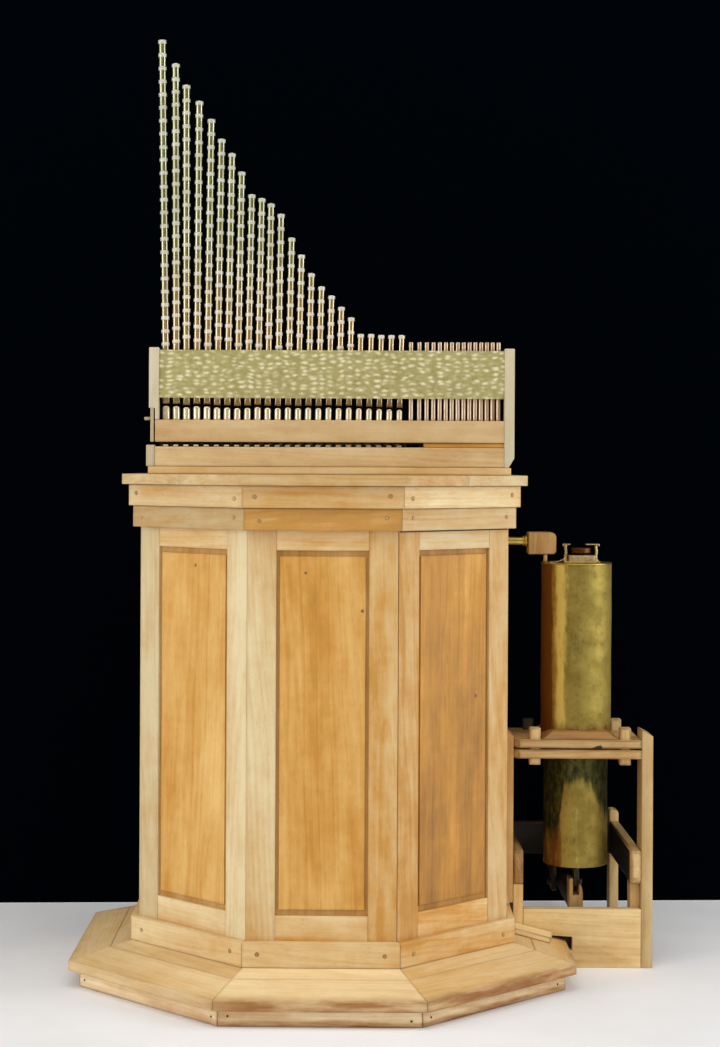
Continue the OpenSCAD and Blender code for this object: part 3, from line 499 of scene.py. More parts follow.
def make_wood_group():
    g, given, result = new_group(
        "grain of wood", ["Warmth", "Tone", "Edge", "Ring Width", "Figure", "Patches", "Knots", "Wear"],
        ["Pale", "Golden", "Dark"])
    place = given["Place"]

    def noise(factors, detail, rough=0.5, output=0):
        return cloud(scaled(place, factors), 1.0, detail, rough, output)

    bend = vector_maths("MULTIPLY_ADD", noise((1.3, 7, 7), 2.0, output="Color"), (0, 0.05, 0.05), place)
    along, across, through = split(bend)
    cells = add_node(g, "TexVoronoi", {"Vector": scaled(place, (3.2, 9, 9)), "Scale": 1.0}).outputs
    chosen = maths("GREATER_THAN", given["Knots"], split(Signal(cells["Color"]))[0])
    knot = chosen * between(Signal(cells["Distance"]), 0.03, 0.09, 1, 0)
    halo = chosen * between(Signal(cells["Distance"]), 0.02, 0.40, 1, 0)
    radius = maths("SQRT", across ** 2.0 + through ** 2.0) + halo * 0.012
    turns = radius / given["Ring Width"]
    part = maths("FRACT", turns)
    years = add_node(g, "TexNoise", {"W": turns, "Scale": 0.9, "Detail": 1.0, "Roughness": 0.5},
                     noise_dimensions="1D")
    ring = between(part, 0.0, 0.85) * between(part, 0.88, 1.0, 1, 0)
    ring = ring * between(Signal(years.outputs[0]), 0.35, 0.75)
    broad, cloudy = noise((2.6, 13, 13), 4.0, 0.55), noise((14, 34, 34), 4.0, 0.6)
    streak, fibre = noise((3, 170, 170), 3.0, 0.6), noise((30, 900, 900), 2.0, 0.6)
    fleck, ripple = between(noise((90, 420, 420), 0.0), 0.70, 0.80), noise((60, 11, 11), 2.0)
    patches = (broad - 0.5) * 2.2 + (cloudy - 0.5) * 1.1 + (ripple - 0.5) * 0.2
    lines = ring * 0.7 + (streak - 0.5) * 1.2 + (fibre - 0.5) * 0.6
    ground = given["Warmth"] + patches * given["Patches"] + lines * given["Figure"] + halo * 0.25
    colour = blend(maths("ADD", ground, 0.0, clamp=True), given["Pale"], given["Golden"])
    deep = maths("MULTIPLY", ground - 0.95, 0.6, clamp=True)
    dirt = given["Edge"] * between(noise((9, 40, 40), 3.0), 0.3, 0.65, 0.3, 1)
    for amount in (deep, fleck * 0.12, knot * 0.8, dirt * given["Wear"]):
        colour = blend(amount, colour, given["Dark"])
    wire(result["Color"], scaled(colour, given["Tone"] * 0.1 + 1.0))
    wire(result["Roughness"], between(streak, 0.3, 0.7, 0.46, 0.62))
    wire(result["Height"], fibre * 0.5 + ring * 0.3 - (knot + fleck))
    return g


wood_group = make_wood_group()


def wood(name, pale=(232, 211, 162), golden=(202, 146, 62), dark=(92, 54, 20), ring_width=0.009, figure=0.3,
         patches=0.75, knots=0.03, wear=0.12, darkening=None):
    """A timber: its pale ground, its golden ground and its dark lines, and how strongly each
    shows. The last argument names two heights: below the first the wood is browner and
    darker, less so at the left-hand side. On the step's nose this is painted shade."""
    material, tree, shader = new_material(name)
    grain = add_node(tree, "Group", node_tree=wood_group, inputs={
        "Place": attribute(tree, "grain", "Vector"), "Tone": attribute(tree, "tone"),
        "Warmth": attribute(tree, "warm"), "Edge": attribute(tree, "edge"), "Pale": srgb(*pale),
        "Golden": srgb(*golden), "Dark": srgb(*dark), "Ring Width": ring_width, "Figure": figure,
        "Patches": patches, "Knots": knots, "Wear": wear})
    colour = Signal(grain.outputs["Color"])
    if darkening:
        place = object_place(tree)
        x, y, z = split(place)
        patchy_noise = cloud(scaled(place, (9, 9, 60)), 1.0, 4.0, 0.6)
        # Browner and darker below the first height, less so at the left: painted shade on the step's nose.
        darker_low = between(z + patchy_noise * -0.01, *darkening, 1, 0) * between(patchy_noise, 0.3, 0.65, 0.4, 1.0)
        darker_low = darker_low * between(x, -0.30, -0.12, 0.3, 1.0)
        colour = blend(darker_low, colour, blend(1.0, colour, srgb(174, 134, 82), "MULTIPLY"))
    show(shader, grain, 0.6, colour)
    return material


# %% The timbers
frame_wood = wood("pale frame wood")
panel_wood = wood("golden panel wood", pale=(228, 184, 108), golden=(200, 140, 48), ring_width=0.012,
                  figure=0.4, patches=0.95, knots=0.2)
chest_wood = wood("tan chest wood", pale=(218, 191, 142), golden=(184, 139, 76))
# The step's nose is browner and darker low down: painted shade.
step_wood = wood("step wood", pale=(232, 208, 160), golden=(200, 152, 78), patches=0.6, figure=0.25,
                 wear=0.2, knots=0.15, darkening=(0.046, 0.058))
base_wood = wood("grey base wood", pale=(234, 212, 170), golden=(194, 152, 98), patches=0.9, figure=0.5,
                 wear=0.45, darkening=(0.002, 0.012))
white_wood = wood("white post wood", pale=(202, 190, 160), golden=(178, 158, 110), patches=0.5, knots=0.05)
stand_wood = wood("stand wood", pale=(232, 204, 146), golden=(188, 138, 66), patches=0.7, figure=0.4,
                  knots=0.25, wear=0.6)
plug_wood = wood("nail plug wood", pale=(206, 172, 112), golden=(170, 122, 60), patches=0.3, wear=0.85)
# Near-black wood for painted shade: in the slider slot, under the cornice, at the back of and inside the
# stand, and round the pump's lever.
shade_wood = wood("painted shade wood", pale=(56, 48, 30), golden=(34, 28, 16), patches=1.2, figure=0.5, wear=0.5)
print("timbers:", len([m for m in bpy.data.materials if "wood" in m.name]))


# %% [markdown]
# Metals
# The pipes and the pump are copper alloys of different ages. Polished metal shows its
# surroundings, so most of its look is roughness: fine scratches, breath-like patches, and
# tarnish that is both darker and duller. One group gives a colour, a roughness and a height
# from three colours and a scale.

# %% The metal group
slit_shade_colour = (0.004, 0.003, 0.002, 1)


def make_metal_group():
    g, given, result = new_group("worn metal", ["Size", "Dullness", "Stains", "Polish", "Slit Shade"],
                                 ["Bright", "Dull", "Stain"])
    place = scaled(given["Place"], given["Size"])
    breath, spots = cloud(place, 4.0, 4.0, 0.6), cloud(place, 17.0, 5.0, 0.7)
    rubs = cloud(scaled(place, (260, 260, 9)), 1.0, 2.0)
    dull = between(breath, 0.35, 0.68) * given["Dullness"]
    stain = maths("MULTIPLY", between(spots, 0.5, 0.7), given["Stains"], clamp=True)
    colour = blend(stain, blend(dull, given["Bright"], given["Dull"]), given["Stain"])
    # The fifth number turns the colour black and rough: painted shade inside the pipes' slits.
    wire(result["Color"], blend(given["Slit Shade"], colour, slit_shade_colour))
    rough = given["Polish"] + dull * 0.14 + stain * 0.25 + given["Slit Shade"]
    wire(result["Roughness"], maths("ADD", rough, rubs * 0.06, clamp=True))
    wire(result["Height"], rubs + breath * 2.0)
    return g


metal_group = make_metal_group()


def metal(name, bright, dull, stain, size=5.0, dullness=0.5, stains=0.3, polish=0.22, metallic=1.0,
          slit_shade=False, blush=None):
    """A metal: its clean colour, its dull colour and its stains. blush is a second colour and
    the two heights between which it fades out upwards."""
    material, tree, shader = new_material(name)
    shader.inputs["Metallic"].default_value = metallic
    place = object_place(tree)
    clean, worn = srgb(*bright), srgb(*dull)
    if blush:
        fade = between(split(place)[2], *blush[1:], 0.75, 0)
        clean, worn = [blend(fade, colour, srgb(*blush[0])) for colour in (clean, worn)]
    skin = add_node(tree, "Group", node_tree=metal_group, inputs={
        "Place": place, "Bright": clean, "Dull": worn, "Stain": srgb(*stain), "Size": size,
        "Dullness": dullness, "Stains": stains, "Polish": polish,
        "Slit Shade": attribute(tree, "dark") if slit_shade else 0.0})
    show(shader, skin, 0.5)
    return material


# %% The metals
pipe_bronze = metal("pipe bronze", (200, 200, 158), (168, 162, 116), (130, 106, 62), size=3.0, polish=0.2,
                    dullness=0.6, stains=0.12, slit_shade=True, blush=((246, 208, 158), 1.25, 1.65))
ring_metal = metal("white ring metal", (208, 208, 192), (190, 186, 166), (146, 130, 102), size=6.0,
                   polish=0.36, dullness=0.7, metallic=0.4, blush=((242, 226, 206), 1.25, 1.65))
thin_copper = metal("thin pipe copper", (240, 216, 184), (230, 190, 154), (176, 124, 84), size=4.0,
                    polish=0.3, stains=0.15)
valve_brass = metal("valve brass", (236, 212, 160), (220, 186, 136), (110, 76, 44), polish=0.34, stains=0.5,
                    metallic=0.8)
yellow_brass = metal("yellow tube brass", (222, 196, 104), (196, 164, 76), (110, 86, 36), polish=0.3)
red_brass = metal("red valve brass", (122, 78, 46), (84, 52, 30), (48, 28, 16), polish=0.4)
rod_steel = metal("rod steel", (74, 72, 56), (50, 48, 36), (36, 28, 20), polish=0.4)


def foot_and_lip(material):
    """The feet of the pipes are paler and less metallic, a painted highlight, and the lips above
    the slits are darker, a painted reflection of the dark room: the points say where (warm and
    edge)."""
    tree = material.node_tree
    shader = tree.nodes["Principled BSDF"]
    foot = attribute(tree, "warm")
    # A darker lip is a painted reflection, and a paler, less metallic foot is a painted highlight.
    tint(shader, attribute(tree, "edge") * 0.8, srgb(122, 104, 50))
    tint(shader, foot * 0.9, srgb(255, 240, 204))
    wire(shader.inputs["Metallic"], maths("MULTIPLY_ADD", foot, -0.25, 1.0))


foot_and_lip(pipe_bronze)


# %% Brass with verdigris, brown stains and painted reflections
def brass_with_painted_reflections():
    """The barrel's brass. Its points say how brown (warm), how green (dark) and how pale (edge)
    it is, and long streaks of noise break up the borders. Part of the brown and the pale band
    above the platform are painted reflections of the cabinet's side."""
    material = metal("barrel brass", (178, 158, 80), (148, 128, 58), (124, 104, 48), dullness=0.8,
                     stains=0.35, polish=0.54, metallic=0.85)
    tree = material.node_tree
    shader = tree.nodes["Principled BSDF"]
    place = object_place(tree)
    runs = cloud(scaled(place, (60, 60, 9)), 1.0, 5.0, 0.6)
    specks = cloud(scaled(place, (90, 90, 50)), 1.0, 4.0, 0.7)
    noise = (runs - 0.5) * 1.4 + (specks - 0.5) * 0.7
    green = blend(between(specks, 0.4, 0.62), srgb(26, 40, 20), srgb(84, 84, 38))
    # edge paints the pale band and warm the brown: above the platform, these are partly painted reflections
    # of the cabinet's side.
    for name, colour, most in (("edge", srgb(228, 208, 112), 0.9), ("warm", srgb(124, 74, 26), 0.92),
                               ("dark", green, 0.94)):
        amount = between(attribute(tree, name) + noise, 0.25, 0.85, 0, most)
        tint(shader, amount, colour)
        # The pale band is also less metallic, so it shows as a painted highlight under the lamps.
        if name == "edge":
            wire(shader.inputs["Metallic"], maths("MULTIPLY_ADD", amount, -0.35, 0.85))
    return material


barrel_brass = brass_with_painted_reflections()


# %% [markdown]
# The plate before the pipes is a brass sheet that was rubbed by hand with an abrasive. Each
# rub left a short bright stroke, and the strokes lie in wavy rows. Cells that are wider than
# high give one stroke each: the distance from a cell's centre makes the stroke, the cell's
# own random colour sets how bright it is, and noise bends the rows.

# %% Plate with rubbed strokes
stroke_w, stroke_h = 0.0190, 0.0090


def plate_material():
    material = metal("rubbed plate brass", (182, 172, 112), (166, 156, 96), (150, 140, 82), size=9.0,
                     dullness=0.9, stains=0.8, polish=0.42, metallic=0.35)
    tree = material.node_tree
    place = object_place(tree)
    bent = vector_maths("MULTIPLY_ADD", cloud(place, 14.0, 5.0, 0.65, "Color"), (0.03, 0, 0.026), place)
    flat = add_node(tree, "Mapping", {"Vector": bent, "Rotation": (-math.pi / 2, 0, 0)})
    grid = scaled(Signal(flat.outputs[0]), (1 / stroke_w, 1 / stroke_h, 1))
    cells = add_node(tree, "TexVoronoi", {"Vector": grid, "Scale": 1.0, "Randomness": 0.7},
                     voronoi_dimensions="2D").outputs
    stroke = between(Signal(cells["Distance"]), 0.0, 0.55, 1, 0)
    crowd = between(cloud(place, 6.0, 2.0), 0.3, 0.65, 0.5, 1.0)
    strength = between(split(Signal(cells["Color"]))[0], 0.0, 0.8, 0.2, 0.95) * crowd
    tint(tree.nodes["Principled BSDF"], stroke * strength, srgb(250, 240, 200))
    return material


plate_brass = plate_material()


# %% [markdown]
# The stepped base
# Eight mitred boards make each ring of the base: a riser that stands on the floor, and two
# sloping rings of step. A ring's board runs along one face of the cabinet, between the lines
# that join the corners of two outlines, so its ends meet its neighbours in a mitre.

# %% Rings of mitred boards
joint_gap = 0.0003
seen_faces = (7, 0, 1)


def ring_boards(inner, outer, heights, warm=(), tone=(), **options):
    """Eight boards round the cabinet, the front one first, then to the right. heights are the
    lower and upper edge at the inner outline, then at the outer one. warm and tone are given
    for the three faces that the photo shows, from left to right."""
    near, far = outline(inner), outline(outer)
    warm, tone = dict(zip(seen_faces, warm)), dict(zip(seen_faces, tone))
    boards = []
    for k in range(8):
        ends = []
        for corner, other in ((k, (k + 1) % 8), ((k + 1) % 8, k)):
            shift = (near[other] - near[corner]) / np.linalg.norm(near[other] - near[corner]) * joint_gap
            inside, outside = near[corner] + shift, far[corner] + shift
            ends.append([[[*inside, heights[0]], [*inside, heights[1]]],
                         [[*outside, heights[2]], [*outside, heights[3]]]])
        boards.append(board(ends, warm=warm.get(k), tone=tone.get(k), **options))
    return boards


def ring_piece(name, node, timber, slot, *sizes, **options):
    piece(name, ring_boards(*sizes, **options), timber, [node])


def sloping(inner, outer):
    """Edges of a board of the step: underside and top at the inner outline, then the outer."""
    return [step_height(inner) - tread_t, step_height(inner), step_height(outer) - tread_t,
            step_height(outer)]


inner_riser = riser_out - riser_t
under_step = [0, step_height(inner_riser) - tread_t - joint_gap,
              0, step_height(riser_out) - tread_t - joint_gap]
skirting_top = high("skirting")[2]
skirting_t = high("skirting")[0] - half_w
over_step = [step_height(0) + joint_gap, skirting_top, step_height(skirting_t) + joint_gap, skirting_top]
wall_gap, half_joint = 0.0005, 0.0001
ring_piece("riser_boards", "base_riser", base_wood, "base_wood", inner_riser, riser_out, under_step,
           warm=(0.15, 0.3, 0.5), tone=(1.5, 1.2, 0.5), bevel=0.002)
ring_piece("step_front_boards", "step_outer_ring", step_wood, "base_wood", tread_joint + half_joint,
           tread_out, sloping(tread_joint, tread_out), warm=(0.3, 0.1, 0.42), tone=(0.3, 0.3, 0.3))
ring_piece("step_back_boards", "step_inner_ring", step_wood, "base_wood", wall_gap, tread_joint - half_joint,
           sloping(0, tread_joint), warm=(0.42, 0.15, 0.45), bevel=0.0005)
ring_piece("skirting_boards", "skirting", frame_wood, "pale_wood", wall_gap, skirting_t, over_step,
           warm=(0.3, 0.5, 0.65), tone=(0, -0.2, 0), bevel=0.0015)
floor_low, floor_high = low("base_floor")[2], high("base_floor")[2]
floor_plan = outline(inner_riser - joint_gap)
piece("floor_board", [cut_board(floor_plan, [0, 0, floor_low], X, Y, floor_high - floor_low)], base_wood,
      ["base_floor"])

# %% [markdown]
# Walls
# Each wall is a frame with a panel in its groove: two upright stiles that reach from floor
# to top, and two level rails between them. The stiles' outer edges are mitred at the
# corners. A stile's grain is upright and a rail's is level. The panel is a thin board with a
# raised field, so a narrow shaded line shows beside the field, and the border round the field
# is painted darker as well: painted shade. The border and the field are one board on the real
# cabinet, so both are given the same place in the tree.

# %% Frames and panels
face_names = ["front", "front_right", "right", "back_right", "back", "back_left", "left", "front_left"]
stile_warmth = {0: (0.36, 0.75), 1: (0.85, 0.5), 7: (0.30, 0.14)}
stile_shade = {0: (1.0, 0.8), 1: (1.2, 1.0), 7: (2.0, 0)}
rail_warmth = {0: (0.55, 0.62), 1: (0.62, 0.3), 7: (0.4, 0.4)}
panel_warmth = {0: 0.66, 1: 0.95, 7: 0.5}


def upright(a_out, b_out, b_in, a_in, z0, z1, **options):
    """An upright board over a four-cornered plan."""
    plan = np.array([[a_out, a_in], [b_out, b_in]])
    ends = [np.concatenate([plan, np.full((2, 2, 1), z)], -1) for z in (z0, z1)]
    return board(ends, **options)


def level(start_plan, end_plan, z0, z1, **options):
    """A level board: each plan is its outer and inner point at one end."""
    ends = [[[[*p, z] for p in plan] for z in (z0, z1)] for plan in (start_plan, end_plan)]
    return board(ends, **options)


def wall_line(k, out=0):
    """The two corners of one side of an outline, with the side's direction and the direction
    into the cabinet."""
    a, b = outline(out)[k], outline(out)[(k + 1) % 8]
    along = (b - a) / np.linalg.norm(b - a)
    return a, b, along, np.array([-along[1], along[0]])


def wall_boards(k):
    a, b, along, inward = wall_line(k)
    inner = outline(-wall_t)
    gap = along * joint_gap * 0.5
    left, right = a + along * stile_w, b - along * stile_w
    left_in, right_in = left + inward * wall_t, right + inward * wall_t
    stiles, rails = stile_warmth.get(k, (None, None)), rail_warmth.get(k, (None, None))
    fine = dict(bevel=0.0005, bow=0.0001)
    # The corner between the front and the wall right of it has opened a little.
    open_joint = 5
    start, end = gap * (open_joint if k == 1 else 1), gap * (open_joint if k == 0 else 1)
    boards = [upright(a + start, left, left_in, inner[k] + start, frame_low, cabinet_top,
                      warm=stiles[0], **fine),
              upright(right, b - end, inner[(k + 1) % 8] - end, right_in, frame_low, cabinet_top,
                      warm=stiles[1], **fine)]
    for stile, shade in zip(boards, stile_shade.get(k, (0, 0))):
        stile["tone"] = stile["tone"] - shade
    for z0, z1, warm in ((frame_low, panel_low, rails[0]), (panel_high, cabinet_top, rails[1])):
        sink = inward * rng.uniform(0.0001, 0.0004)
        boards.append(level([left + gap + sink, left_in + gap], [right - gap + sink, right_in - gap], z0, z1,
                            warm=warm, **fine))
    return boards


def panel_boards(k):
    a, b, along, inward = wall_line(k)
    shared = dict(tree=new_tree(), warm=panel_warmth.get(k, 0.7), tone=rng.normal(0, 0.2), bow=0.0001,
                  origin=np.array([*(a + along * stile_w), panel_low]))
    boards = []
    for margin, end, face, back in ((-panel_tongue, -panel_tongue, panel_recess, panel_recess + panel_t),
                                    (field_side, field_end, panel_recess - field_rise,
                                     panel_recess + panel_t / 2)):
        left, right = a + along * (stile_w + margin), b - along * (stile_w + margin)
        boards.append(upright(left + inward * face, right + inward * face, right + inward * back,
                              left + inward * back, panel_low + end, panel_high - end,
                              bevel=0.0008, **shared))
    border, field = boards
    # The border is darkened all over: painted shade in the recess beside the raised field.
    border["edge"][:] = 1.0
    border["tone"] = border["tone"] - 2.4
    # The right-hand panel is warmer towards its foot.
    if k == 1:
        field["warm"] = field["warm"] + 0.7 * (panel_high - field["points"][:, 2])
    return boards


for k, name in enumerate(face_names):
    piece("wall_" + name, wall_boards(k), frame_wood, ["frame_" + name])
piece("panel_boards", [b for k in range(8) for b in panel_boards(k)], panel_wood,
      ["wall_panels"])

# %% [markdown]
# Cornice
# Two rings of boards lie under a slab. The slab is glued up from boards that run from left
# to right, which shows at its slanting edges, where the joints come out. Round plugs cover
# the nails near the boards' ends.

# %% Cornice rings and slab
band_low, band_high = low("cornice_lower")[2], high("cornice_lower")[2]
band_top = high("cornice_upper")[2]
lower_out, upper_out = high("cornice_lower")[0] - half_w, high("cornice_upper")[0] - half_w
ring_piece("cornice_lower_boards", "cornice_lower", frame_wood, "pale_wood", joint_gap, lower_out,
           [band_low, band_high - joint_gap] * 2, warm=(0.55, 0.95, 0.45), tone=(-2.6, -0.6, -1.5),
           bevel=0.0008)
ring_piece("cornice_upper_boards", "cornice_upper", frame_wood, "pale_wood", joint_gap, upper_out,
           [band_high, band_top - joint_gap] * 2, warm=(0.3, 0.6, 0.25), tone=(-0.9, -0.5, 0), bevel=0.0008)


slab_warmth = (0.5, 0.25, 0.45, 0.3, 0.4, 0.5, 0.35)
slab_tone = (-1.6, -1.9, -2.2, 0, 0, 0, 0)


def slab_boards():
    """Seven boards from front to back. They end on the slab's outline, and the slanting corners
    are split in two by a joint."""
    plan = outline(high("top_slab")[0] - half_w)
    w, f, s = plan[3][0], plan[1][0], plan[3][1]
    middle = (w + s) / 2
    rows = [-w, -middle, -s, -s / 3, s / 3, s, middle, w]
    reach = {w: f, middle: (w + f) / 2}
    half = [reach.get(abs(y), w) for y in rows]
    z0, z1 = low("top_slab")[2], high("top_slab")[2]
    boards = []
    for n in range(len(rows) - 1):
        y0, y1 = rows[n] + joint_gap * (n > 0), rows[n + 1] - joint_gap * (n < len(rows) - 2)
        ends = [[[[side * x, y, z0], [side * x, y, z1]] for x, y in ((half[n], y0), (half[n + 1], y1))]
                for side in (-1, 1)]
        boards.append(board(ends, bevel=0.0012, bow=0.0002, warm=slab_warmth[n], tone=slab_tone[n]))
    return boards


piece("slab_boards", slab_boards(), frame_wood, ["top_slab"])


# %% Round bars, and plugs over the nails
def circle(sides):
    """Angles of points that are spread evenly round a circle."""
    return np.linspace(0, 2 * np.pi, sides, endpoint=False)


def around(radii, sides):
    """Level rings of points: r cos a and r sin a, with one row for each radius."""
    return radii[:, None] * np.cos(circle(sides)), radii[:, None] * np.sin(circle(sides))


def column(x, y, heights):
    """Points above one another."""
    return [[x, y, z] for z in heights]


def tube(path, radii, sides=16):
    """A round bar or pipe: rings of radius r about the points of a path. A ring's points are
    centre + r * (u cos a + v sin a), with u and v at right angles to the path's direction."""
    path, radii = np.array(path, float), np.array(radii, float)
    direction = path[-1] - path[0]
    direction /= np.linalg.norm(direction)
    u = np.cross(direction, Y if abs(direction[1]) < 0.9 else X)
    u /= np.linalg.norm(u)
    v = np.cross(direction, u)
    angle = circle(sides)[:, None]
    return carried(path[:, None] + radii[:, None, None] * (np.cos(angle) * u + np.sin(angle) * v))


def wooden(part, along, warm=None, tone=None):
    """Gives a round piece the attributes of wood, with its grain along an axis."""
    part["edge"] = np.zeros(len(part["points"]))
    side = np.cross(along, Y if abs(along[1]) < 0.9 else X)
    place = tree_place(part["points"], part["points"][0], [along, side, np.cross(along, side)])
    return finished(part, place, tone, warm)


def bare(part):
    """A part without the attributes of wood."""
    return {key: part[key] for key in ("points", "quads", "caps")}


plug_sides, plug_spread = 14, 0.004


def plug(centre, normal, radius, rise=0.0006):
    """A disc with a dark rim: its radius is r, r, 0.9 r and 0.75 r on its way out of the wood."""
    path = centre + normal * np.array([-0.001, rise / 2, rise, rise * 1.02])[:, None]
    return tube(path, radius * np.array([1, 1, 0.9, 0.75]), plug_sides)


def knots():
    """The four knots that show in the panels, each given by its wall, the distance along it,
    the height and the radius."""
    parts = []
    for k, reach, z, radius in ((0, 0.118, 0.8796, 0.0030), (0, 0.2325, 0.8037, 0.0034),
                                (7, 0.170, 0.889, 0.0034), (1, 0.231, 0.617, 0.0040)):
        a, _, along, inward = wall_line(k)
        centre = a + along * reach + inward * (panel_recess - field_rise)
        parts.append(wooden(plug([*centre, z], [*-inward, 0], radius, rise=0.0002), Z, warm=0.9, tone=-4.5))
    return parts


def gap_shade_strip():
    """A dark strip under the cornice: painted shade in the gap where its board has pulled away."""
    a, b, along, inward = wall_line(1)
    plans = [[p - inward * 0.0005, p + inward * 0.001] for p in (a + along * 0.003, b - along * 0.003)]
    return level(*plans, band_low - 0.0030, band_low - 0.0002, bevel=0.0002, bow=0, tone=-3)


def plugs_on(out, z, inset, radius):
    """Two plugs on each of the eight boards of a ring, near the board's ends."""
    plugs = []
    for k in range(8):
        a, b, along, inward = wall_line(k, out)
        normal = np.array([*-inward, 0])
        for end, way in ((a, 1), (b, -1)):
            x, y = end + along * way * (inset + rng.uniform(-plug_spread, plug_spread))
            disc = plug(np.array([x, y, z + rng.uniform(-plug_spread, plug_spread)]), normal, radius)
            part = wooden(disc, normal, warm=rng.uniform(0.3, 0.8), tone=rng.uniform(-1.5, 0))
            part["edge"] = np.repeat([1.0, 1, 1, 0], plug_sides)
            plugs.append(part)
    return plugs


piece("panel_knots", knots(), plug_wood)
# Painted shade: a dark strip under the cornice's lower band.
piece("cornice_gap_shade", [gap_shade_strip()], shade_wood)
piece("nail_plugs", plugs_on(upper_out, (band_high + band_top) / 2, 0.026, 0.0046)
      + plugs_on(lower_out, (band_low + band_high) / 2, 0.03, 0.0042)
      + plugs_on(skirting_t, (skirting_top + step_height(skirting_t)) / 2, 0.035, 0.0044),
      plug_wood)
piece("riser_nails", [bare(p) for p in plugs_on(riser_out, 0.017, 0.022, 0.0022)], rod_steel)

# %% [markdown]
# Wind chest
# The chest is two level boxes with a slot between them, where the sliders pass under the
# pipes. The upper box carries the pipes, and the lower one feeds them with wind.

# %% Wind chest boards
def plain_piece(name, node, timber, slot, **options):
    """A board that fills a solid's box, with its grain from left to right."""
    piece(name, [box_board(*span(node), 0, **options)], timber, [node])


def trunk_boards():
    lo, hi = span("wind_trunk")
    wall = 0.02
    x0, x1, y0, y1 = lo[0] + wall, hi[0] - wall, lo[1] + wall, hi[1] - wall
    return [box_board(lo, [hi[0], y0, hi[2]], 0, bevel=0.0015, warm=0.42, tone=-0.3),
            box_board([lo[0], y1, lo[2]], hi, 0), box_board([lo[0], y0, lo[2]], [x0, y1, hi[2]], 1),
            box_board([x1, y0, lo[2]], [hi[0], y1, hi[2]], 1),
            box_board([x0, y0, hi[2] - wall], [x1, y1, hi[2]], 0)]


plain_piece("sole", "sole_board", step_wood, "pale_wood", bevel=0.0018, warm=0.62, tone=-0.5)
piece("trunk_boards", trunk_boards(), chest_wood, ["wind_trunk"])
plain_piece("pipe_board_top", "pipe_board", chest_wood, "pale_wood", bevel=0.0015, warm=0.4, tone=-0.8)
plain_piece("slot_end_strip", "slot_closer", panel_wood, "golden_wood", warm=0.9)

pipe_count, pipe_pitch = 24, 0.0214
slider_half, guide_w = 0.0055, 0.006
pipe_x0 = low("note_sliders")[0] + slider_half
pipe_z = high("pipe_board")[2]
row_y = low("pipe_board")[1] + 0.023


def slider_boards():
    lo, hi = span("note_sliders")
    boards = []
    for i in range(pipe_count):
        x = pipe_x0 + i * pipe_pitch
        pull = rng.uniform(0, 0.004) * 0.3 + 0.0003 * i
        # Their tone is painted light: brighter than the wood so they show in the shaded slot, and dimmer
        # towards the right.
        boards.append(box_board([x - slider_half, lo[1] + pull, lo[2]],
                                [x + slider_half, hi[1], hi[2] - 0.0015], 1,
                                bevel=0.0006, warm=0.4, tone=rng.uniform(1, 3) - 0.12 * i))
    return boards


def guide_boards():
    lo, hi = span("slider_guides")
    starts = lo[0] + np.arange(pipe_count + 1) * pipe_pitch
    return [box_board([x, lo[1], lo[2]], [x + guide_w, hi[1], hi[2]], 1, bevel=0.0006) for x in starts]


piece("slider_boards", slider_boards(), white_wood, ["note_sliders"])
# The guides are near black: painted shade in the slot.
piece("guide_strips", guide_boards(), shade_wood, ["slider_guides"])


# %% End posts and stop lever
def right_post():
    lo, hi = span("end_post_right")
    cut_w, cut_h = 0.012, 0.02
    shape = [[lo[0], lo[2]], [hi[0] - cut_w, lo[2]], [hi[0], lo[2] + cut_h], [hi[0], hi[2]], [lo[0], hi[2]]]
    return front_board(shape, lo[1], hi[1], radii=0.0018, bevel=0.001, warm=0.2, tone=0)


def left_post():
    lo, hi = span("end_post_left")
    over, rise = 0.013, 0.024
    shape = [[lo[0] + over, lo[2]], [hi[0], lo[2]], [hi[0], hi[2]], [lo[0], hi[2]], [lo[0], lo[2] + rise],
             [lo[0] + over, lo[2] + rise]]
    return front_board(shape, lo[1], hi[1], radii=0.0018, bevel=0.001, warm=0.1, tone=0)


def stop_boards():
    """The stop lever is 3 mm thinner than its solid, and its peg is as much longer."""
    lo, hi = span("stop_lever")
    lever_x = lo[0] + 0.013
    lever = box_board([lever_x, lo[1], lo[2]], hi, 2, bevel=0.0012, warm=0.7, tone=-1)
    peg_y, peg_z = centre_of("stop_lever")[1], pipe_z + 0.002
    path = [[x, peg_y, peg_z] for x in (lo[0], lo[0] + 0.0008, lever_x + 0.002)]
    return [lever, wooden(tube(path, [0.0026, 0.0035, 0.0035]), X, warm=0.8)]


piece("right_end_post", [right_post()], white_wood, ["end_post_right"])
piece("left_end_post", [left_post()], white_wood, ["end_post_left"])
piece("stop_lever_wood", stop_boards(), white_wood, ["stop_lever"])
block_low, block_high = span("stop_block")
block = box_board(block_low, block_high - 0.006 * Z, 2, bevel=0.002, warm=0.5, tone=-0.3)
piece("stop_block_wood", [block], white_wood, ["stop_block"])

# %% [markdown]
# Wide pipes
# Each wide pipe is a drawn tube with a mouth near its foot. The wall below the slit leans
# in as a lower lip with an arched top, and the wall above it is pressed flat as an upper
# lip, which is wide at the slit and narrows upwards. All of this follows from one rule: the
# front of the round tube is pushed back to a plane, and the plane's depth changes with the
# height. The points carry masks for painted light: black in the slit and beside the foot's top
# as painted shade, a pale foot as a painted highlight, and a dark upper lip as a painted
# reflection.

